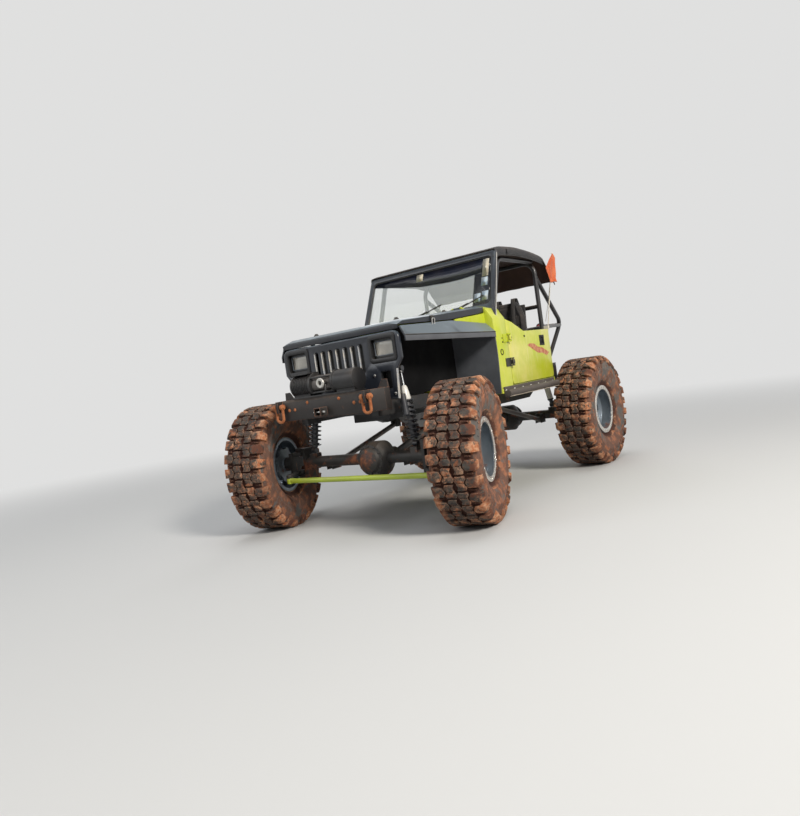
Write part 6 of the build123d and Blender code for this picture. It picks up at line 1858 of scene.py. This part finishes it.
@dataclass
class Front:
    """Winch drum, bumper fittings, radiator fins, grille trim and engine dressing."""

    repeats: Repeats
    winch_back: float = -0.172
    winch_up: float = 0.301
    bumper_face: float = -0.250
    # middle of the headlamps and of the marker recesses under them
    lamp_x: float = 0.435
    lamp_up: float = 0.494
    # half width, lower and upper edge of a marker recess
    marker: Triple = (0.047, 0.190, 0.322)

    def winch(self) -> None:
        """Wound drum, clutch ring, tie bars and cooling fins."""
        place = Matrix.Translation(body_point(-0.100, self.winch_back, self.winch_up))
        self.repeats.wound("winch_winding", LINK_STEEL, "winch", place @ Matrix.Rotation(math.radians(90), 4, "Y"),
                           Turns=21.0, Radius=0.0605, Height=0.200, Wire=0.0052, Resolution=20)
        knob = level(body_point(0.036, self.winch_back - 0.100, self.winch_up + 0.004), -90)
        ring = Shape().lathe([(0.0100, 0.017), (0.0100, 0.036), (0.0180, 0.038), (0.0240, 0.034), (0.0230, 0.018)],
                             knob, 32, closed=True)
        ring.fit("clutch_ring", RING_STEEL, "winch", smooth=40.0)
        bars = Shape()
        for back, up in ((-0.235, 0.352), (-0.110, 0.352), (-0.228, 0.240)):
            bars.bar([(-0.118, back, up), (0.118, back, up)], 0.009)
        bars.body_block((-0.300, -0.236, 0.386), (-0.130, -0.112, 0.398))
        bars.bar([(0.060, -0.262, 0.292), (0.064, -0.270, 0.240)], 0.008)
        bars.fit("winch_bars", WINCH_BLACK, "winch", bevel=0.002)
        fins = Shape().lathe([(0.0, 0.0842), (0.0, 0.0880), (0.004, 0.0880), (0.004, 0.0842)],
                             Matrix.Translation(body_point(-0.300, self.winch_back, self.winch_up)), 48, closed=True)
        self.repeats.many(self.repeats.row, fins, "winch_fins", WINCH_BLACK, "winch", Count=10, Step=(0.017, 0.0, 0.0))

    def bumper(self) -> None:
        """Bolts, hitch pin and weld beads on the bumper."""
        rows = ((0.130, (-0.36, -0.30, 0.30, 0.36)), (0.175, (-0.16, 0.16)))
        points = [body_point(x, self.bumper_face, up) for up, row in rows for x in row]
        self.repeats.bolts("bumper_bolts", "bumper", points, (0, -1, 0), 0.010, 0.008, RUSTY_IRON)
        pin = Shape().bar([(-0.052, -0.305, 0.0935), (0.056, -0.305, 0.0935)], 0.0078)
        pin.bar([(0.052, -0.305, 0.0935), (0.062, -0.312, 0.0935), (0.066, -0.326, 0.0935)], 0.0078, bend=0.010)
        pin.fit("receiver_pin", BOLT_STEEL, "bumper", smooth=50.0)
        welds = Shape()
        for side in (-1, 1):
            for x in (0.4285, 0.4515):
                welds.bar([(side * x, -0.2505, up) for up in (0.120, 0.190)], 0.0035, sides=8)
        welds.fit("tab_welds", BUMPER_BLACK, "bumper", smooth=60.0)

    def grille(self) -> None:
        """Radiator fins behind the slots, marker recesses and grille bolts."""
        fin = Shape().body_block((-0.298, 0.0765, 0.190), (-0.2955, 0.0790, 0.560))
        self.repeats.many(self.repeats.row, fin, "radiator_fins", FIN_ALLOY, "radiator", Count=100,
                          Step=(0.006, 0.0, 0.0))
        bolts = [body_point(x, 0.0, up) for x, up in ((-0.330, 0.300), (-0.180, 0.292), (0.200, 0.300), (0.330, 0.300),
                                                      (-0.500, 0.360), (0.500, 0.150), (-0.500, 0.150))]
        self.repeats.bolts("grille_bolts", "body_black", bolts, (0, -1, 0), 0.0085, 0.006)
        cups = Shape()
        half, low, high = self.marker
        for side in (-1, 1):
            inside, outside = side * self.lamp_x - half, side * self.lamp_x + half
            ring = [(inside, low), (outside, low), (outside, high), (inside, high)]
            cups.faces([[body_point(x, back, up) for x, up in ring] for back in (0.002, 0.060)], caps=False)
            cups.body_block((inside, 0.058, low), (outside, 0.061, high))
        thicken(cups.fit("marker_cups", BEZEL_BLACK, "bezel", smooth=30.0), 0.0015)
        rims, inner = Shape(), Shape()
        for side in (-1, 1):
            for low, high in (((-0.1006, -0.0716), (-0.084, 0.0716)), ((0.086, -0.0716), (0.1006, 0.0716)),
                              ((-0.1006, 0.052), (0.1006, 0.0716)), ((-0.1006, -0.0716), (0.1006, -0.050))):
                rims.body_block((side * self.lamp_x + low[0], 0.022, self.lamp_up + low[1]),
                                (side * self.lamp_x + high[0], 0.034, self.lamp_up + high[1]))
            loop = ((0.0, -0.050), (0.086, -0.050), (0.086, 0.052), (-0.084, 0.052), (-0.084, -0.050), (-0.003, -0.050))
            inner.bar([(side * self.lamp_x + a, 0.022, self.lamp_up + b) for a, b in loop], 0.0018, bend=0.008, sides=8)
        rims.fit("lamp_rims", BEZEL_BLACK, "bezel", bevel=0.002)
        inner.fit("lamp_rim_trim", RIM_ALLOY_WITH_SKY_SHADE, "bezel", smooth=60.0)

    def engine(self) -> None:
        """Valve cover, air cleaner, hoses, fan and battery under the hood."""
        cover = Shape().body_block((-0.075, 0.330, 0.4695), (0.085, 0.800, 0.525))
        cover.fit("valve_cover", BLACK_PAINT, "engine", bevel=0.012, segments=3)
        rib = Shape().body_block((-0.060, 0.350, 0.524), (0.070, 0.358, 0.530))
        self.repeats.many(self.repeats.row, rib, "valve_cover_ribs", CAST_ALLOY, "engine", bevel=0.001, Count=12,
                          Step=(0.0, 0.038, 0.0))
        cleaner = Shape().lathe([(0.0, 0.040), (0.060, 0.042), (0.066, 0.130), (0.072, 0.140), (0.110, 0.140),
                                 (0.118, 0.146), (0.126, 0.140), (0.134, 0.060), (0.146, 0.018), (0.150, 0.004)],
                                upright(body_point(-0.100, 0.620, 0.470)), 48)
        cleaner.fit("air_cleaner", BRIGHT_ALLOY, "engine", smooth=28.0)
        hoses = Shape()
        for line in (((0.20, 0.110, 0.530), (0.20, 0.190, 0.545), (0.06, 0.250, 0.480), (0.06, 0.330, 0.440)),
                     ((-0.22, 0.110, 0.200), (-0.22, 0.190, 0.200), (-0.15, 0.300, 0.160))):
            hoses.bar(line, 0.022, bend=0.05)
        hoses.fit("coolant_hoses", HOSE_RUBBER, "radiator", smooth=60.0)
        blade = Shape().prism([(-0.018, 0.030), (0.018, 0.036), (0.030, 0.200), (-0.030, 0.205)], Axis.X, -0.003,
                              0.003, Matrix.Rotation(0.4, 4, "Z"))
        place = level(body_point(0.0, 0.205, 0.340), 90)
        self.repeats.many(self.repeats.ring, blade, "fan_blades", RADIATOR_BLACK, "radiator", place, bevel=0.001,
                          Count=7)
        hub = Shape().lathe([(-0.020, 0.045), (0.030, 0.045), (0.098, 0.030)], place, 28)
        hub.fit("fan_hub", CAST_ALLOY, "radiator", smooth=30.0)
        battery, tray = Shape(), Shape()
        battery.body_block((-0.312, 0.862, 0.350), (-0.142, 1.090, 0.540))
        tray.body_block((-0.333, 0.850, 0.338), (-0.130, 1.137, 0.350))
        tray.body_block((-0.316, 0.960, 0.540), (-0.138, 0.985, 0.548))
        battery.fit("battery", DASH_PLASTIC, "engine", bevel=0.004)
        tray.fit("battery_tray", FRAME_BLACK, "engine", bevel=0.002)

    def build(self) -> None:
        """Everything at the front."""
        self.winch()
        self.bumper()
        self.grille()
        self.engine()


@dataclass
class RunningGear:
    """Diff covers with their bolts, and the feet of the cage."""

    repeats: Repeats
    diff_x: float = 0.150

    def build(self) -> None:
        """Both diff covers and the cage's feet."""
        for name, x, y, facing in (("front", self.diff_x, FRONT_AXLE_Y, -1.0), ("rear", 0.0, REAR_AXLE_Y, 1.0)):
            place = level((x, y, WHEEL_Z), 90.0 * facing)
            cover = Shape().lathe([(0.100, 0.118), (0.112, 0.118), (0.116, 0.100), (0.140, 0.088), (0.158, 0.050),
                                   (0.163, 0.004)], place, 40)
            cover.fit("diff_cover_" + name, AXLE_IRON, "axle", smooth=30.0)
            head = Shape().lathe([(0.112, 0.008), (0.120, 0.008), (0.121, 0.006)],
                                 Matrix.Translation((0.0, 0.0, 0.108)), 6)
            self.repeats.many(self.repeats.ring, head, "diff_bolts_" + name, DARK_BOLT, "axle", place, Count=12)
        feet, points = Shape(), []
        for x, back in ((0.640, 1.388), (0.655, 2.345)):
            for side in (-1, 1):
                feet.body_block((side * x - 0.05, back - 0.05, 0.020), (side * x + 0.05, back + 0.05, 0.026))
                points += [body_point(side * x + a, back + b, 0.026) for a in (-0.036, 0.036) for b in (-0.036, 0.036)]
        feet.fit("cage_feet", CAGE_PAINT, "cage", bevel=0.002)
        self.repeats.bolts("cage_foot_bolts", "cage", points, (0, 0, 1), 0.008, 0.007)


@dataclass
class Tail:
    """Whip with its flag, tail-lamp bezels, ends of the tail's side tubes and fuel-cell fittings."""

    foot: Triple = (0.719, 2.327, 0.500)
    head: Triple = (0.719, 2.685, 1.296)
    # distance back and height of the flag's front and rear edges, from its top down
    front_edge: Sequence[Pair] = ((2.676, 1.286), (2.560, 1.210), (2.450, 1.128), (2.490, 1.050), (2.538, 0.986))
    rear_edge: Sequence[Pair] = ((2.690, 1.288), (2.734, 1.246), (2.722, 1.160), (2.702, 1.075), (2.686, 1.000))

    def build(self) -> None:
        """Everything at the rear."""
        pole = Shape().bar([self.foot, self.head], 0.0045)
        pole.lathe([(0.0, 0.0045), (0.004, 0.0065), (0.010, 0.0065), (0.013, 0.003)],
                   upright(body_point(*self.head) - Vector((0.0, 0.004, 0.010))), 16)
        pole.body_block((0.678, 2.331, 0.522), (0.727, 2.359, 0.558))
        pole.bar([(0.717, 2.556, 1.010), (0.700, 2.480, 0.800), (0.668, 2.425, 0.606)], 0.0028, bend=0.3, sides=8)
        pole.fit("flag_pole", POLE_FIBRE, "flag", "flag_whip", smooth=50.0)
        self.cloth()
        bezels = Shape()
        for side in (-1, 1):
            bezels.lathe([(0.0, 0.0442), (0.0, 0.0520), (0.026, 0.0520), (0.032, 0.0475), (0.030, 0.0442)],
                         level(body_point(side * 0.330, 3.0203, 0.580), 90), 36, closed=True)
        bezels.fit("tail_bezels", HOSE_RUBBER, "tail_lamp", smooth=40.0)
        ends = Shape()
        for side in (-1, 1):
            ends.bar([(side * 0.5654, 2.960, 0.5748), (side * 0.5576, 3.0145, 0.5760)], 0.0202, sides=32)
        ends.fit("tail_tube_ends", CAGE_PAINT, "cage", smooth=50.0)
        self.cell_fittings()

    def cloth(self) -> None:
        """Drooping flag, folded round the pole."""
        (_, foot_back, foot_up), (_, head_back, head_up) = self.foot, self.head
        rows = []
        steps, columns = 36, 40
        for step in range(steps + 1):
            share = step / steps
            place = share * (len(self.front_edge) - 1)
            index = min(int(place), len(self.front_edge) - 2)
            part = place - index
            part = part * part * (3.0 - 2.0 * part) * 0.4 + part * 0.6
            front = [a + (b - a) * part for a, b in zip(self.front_edge[index], self.front_edge[index + 1])]
            rear = [a + (b - a) * part for a, b in zip(self.rear_edge[index], self.rear_edge[index + 1])]
            row = []
            for column in range(columns + 1):
                across = column / columns
                back = front[0] + (rear[0] - front[0]) * across
                up = front[1] + (rear[1] - front[1]) * across
                pole = foot_back + (head_back - foot_back) * (up - foot_up) / (head_up - foot_up)
                away = min(1.0, abs(back - pole) / 0.10)
                depth = (0.004 + 0.016 * share) * away
                fold = math.sin(across * 15.0 + share * 2.6) + 0.35 * math.sin(across * 33.0 - share * 4.0)
                lift = 0.004 * math.sin(across * 22.0) * share
                row.append(body_point(self.foot[0] + 0.0052 + depth * fold, back, up + lift))
            rows.append(row)
        flag = Shape().sheet(rows).finish("flag_cloth", FLAG_ORANGE, smooth=80.0)
        thicken(flag, 0.0012, 0.0)
        settle(flag, "chassis", "flag", "flag_whip")

    def cell_fittings(self) -> None:
        """Straps and filler cap of the fuel cell."""
        cell = Shape()
        for x in (-0.16, 0.16):
            cell.body_block((x - 0.02, 2.578, 0.058), (x + 0.02, 2.902, 0.3125))
        cell.lathe([(0.0, 0.046), (0.004, 0.052), (0.024, 0.052), (0.028, 0.044), (0.030, 0.002)],
                   upright(body_point(0.14, 2.700, 0.336)), 28)
        cell.fit("fuel_cell_straps", FRAME_BLACK, "fuel_cell", bevel=0.002)


@dataclass
class Studio:
    """Pale floor and wall, soft lights and the photograph's camera."""

    centre: Triple = (0.0, 0.0, 0.95)
    # the camera's focal length in mm, its place, and the ways right, up and back from it
    lens: float = 31.5
    eye: Triple = (3.573, -5.447, 1.125)
    axes: Sequence[Triple] = ((0.7993, 0.5834, -0.1442), (0.0914, 0.1192, 0.9887), (0.5939, -0.8034, 0.0420))

    def surroundings(self) -> None:
        """Floor that curves up into a round wall, without its lid."""
        shape = Shape().lathe([(0.0, 0.001), (0.0, 14.0), (0.12, 16.0), (0.6, 18.2), (1.7, 20.2), (3.6, 21.5),
                               (6.0, 22.0), (26.0, 22.0)], Matrix.Rotation(math.radians(-90), 4, "Y"), 96)
        mesh = shape.mesh
        top = max(vertex.co.z for vertex in mesh.verts)
        lids = [f for f in mesh.faces if all(v.co.z > top - 0.001 for v in f.verts)]
        bmesh.ops.delete(mesh, geom=lids, context="FACES_ONLY")
        floor = shape.finish("studio_floor", DIAL_WHITE, smooth=60.0)
        floor.data.materials[0] = self.pale()

    def pale(self) -> bpy.types.Material:
        """Pale backdrop: a plain floor that keeps shadows and fades into an even glow.

        Returns:
            The backdrop's material.
        """
        material = bpy.data.materials.new("studio_pale")
        material.use_nodes = True
        graph = Graph(material.node_tree)
        ray = graph.node("ShaderNodeLightPath").outputs
        seen = graph.math("MAXIMUM", ray["Is Camera Ray"],
                          graph.math("MAXIMUM", ray["Is Glossy Ray"], ray["Is Transmission Ray"]))
        place = graph.node("ShaderNodeTexCoord").outputs["Object"]
        away = graph.node("ShaderNodeVectorMath", {0: place}, operation="LENGTH").outputs["Value"]
        tone = graph.mix(seen, (0.44, 0.44, 0.437), (0.66, 0.66, 0.655))
        near = graph.node("ShaderNodeBsdfDiffuse", {"Color": tone}).outputs[0]
        far = graph.node("ShaderNodeEmission", {"Color": (0.745, 0.745, 0.74, 1.0)}).outputs[0]
        share = graph.math("MULTIPLY", graph.ramp(away, 3.8, 12.5), seen)
        shader = graph.node("ShaderNodeMixShader", {0: share, 1: near, 2: far})
        graph.node("ShaderNodeOutputMaterial", {"Surface": shader.outputs[0]})
        return material

    def lamp(self, name: str, place: Triple, size: float, power: float, tint: Colour) -> None:
        """Square soft light aimed at the vehicle.

        Args:
            name: the light's name.
            place: where it hangs.
            size: of its side.
            power: in watts.
            tint: its colour.
        """
        light = bpy.data.lights.new(name, "AREA")
        light.shape, light.size = "SQUARE", size
        light.energy, light.color = power, tint
        made = shown(name, light)
        made.location = place
        made.rotation_euler = (Vector(self.centre) - Vector(place)).to_track_quat("-Z", "Y").to_euler()

    def lights(self) -> None:
        """Key from the vehicle's left, fill from its front right, a top light and an even sky."""
        self.lamp("key", (11.0, -4.6, 7.6), 2.8, 1450.0, (1.0, 0.955, 0.88))
        self.lamp("fill", (-8.0, -12.0, 8.0), 8.0, 420.0, (0.92, 0.96, 1.0))
        self.lamp("top", (0.0, 0.0, 14.0), 10.0, 520.0, (1.0, 1.0, 1.0))
        self.lamp("rear", (-7.0, 13.0, 8.0), 8.0, 420.0, (1.0, 1.0, 1.0))
        world = bpy.data.worlds.new("studio_sky")
        bpy.context.scene.world = world
        world.use_nodes = True
        sky = world.node_tree.nodes["Background"].inputs
        sky["Color"].default_value, sky["Strength"].default_value = (0.86, 0.90, 0.95, 1.0), 0.46

    def camera(self) -> None:
        """Camera at the photograph's place, angle and roll."""
        data = bpy.data.cameras.new("camera")
        data.sensor_fit, data.sensor_width, data.lens = "HORIZONTAL", 36.0, self.lens
        data.clip_start, data.clip_end = 0.1, 100.0
        made = shown("camera", data)
        turn = Matrix(self.axes).transposed().to_4x4()
        made.matrix_world = Matrix.Translation(self.eye) @ turn
        bpy.context.scene.camera = made

    def build(self) -> None:
        """The whole studio."""
        self.surroundings()
        self.lights()
        self.camera()
        bpy.context.scene.view_settings.view_transform = "Standard"


def main() -> None:
    """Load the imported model, dress it and add each sub-assembly."""
    logging.basicConfig(level=logging.INFO, format="%(name)s: %(message)s")
    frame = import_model()
    repeats = Repeats()
    Studio().build()
    PackedParts(frame["nodes"]).dress()
    for assembly in (Wheels(repeats), Suspension(repeats), SoftTop(), Windscreen(repeats), Cab(repeats), Body(repeats),
                     Front(repeats), RunningGear(repeats), Tail()):
        assembly.build()
        LOG.info("%s done", type(assembly).__name__)


if __name__ == "__main__":
    main()
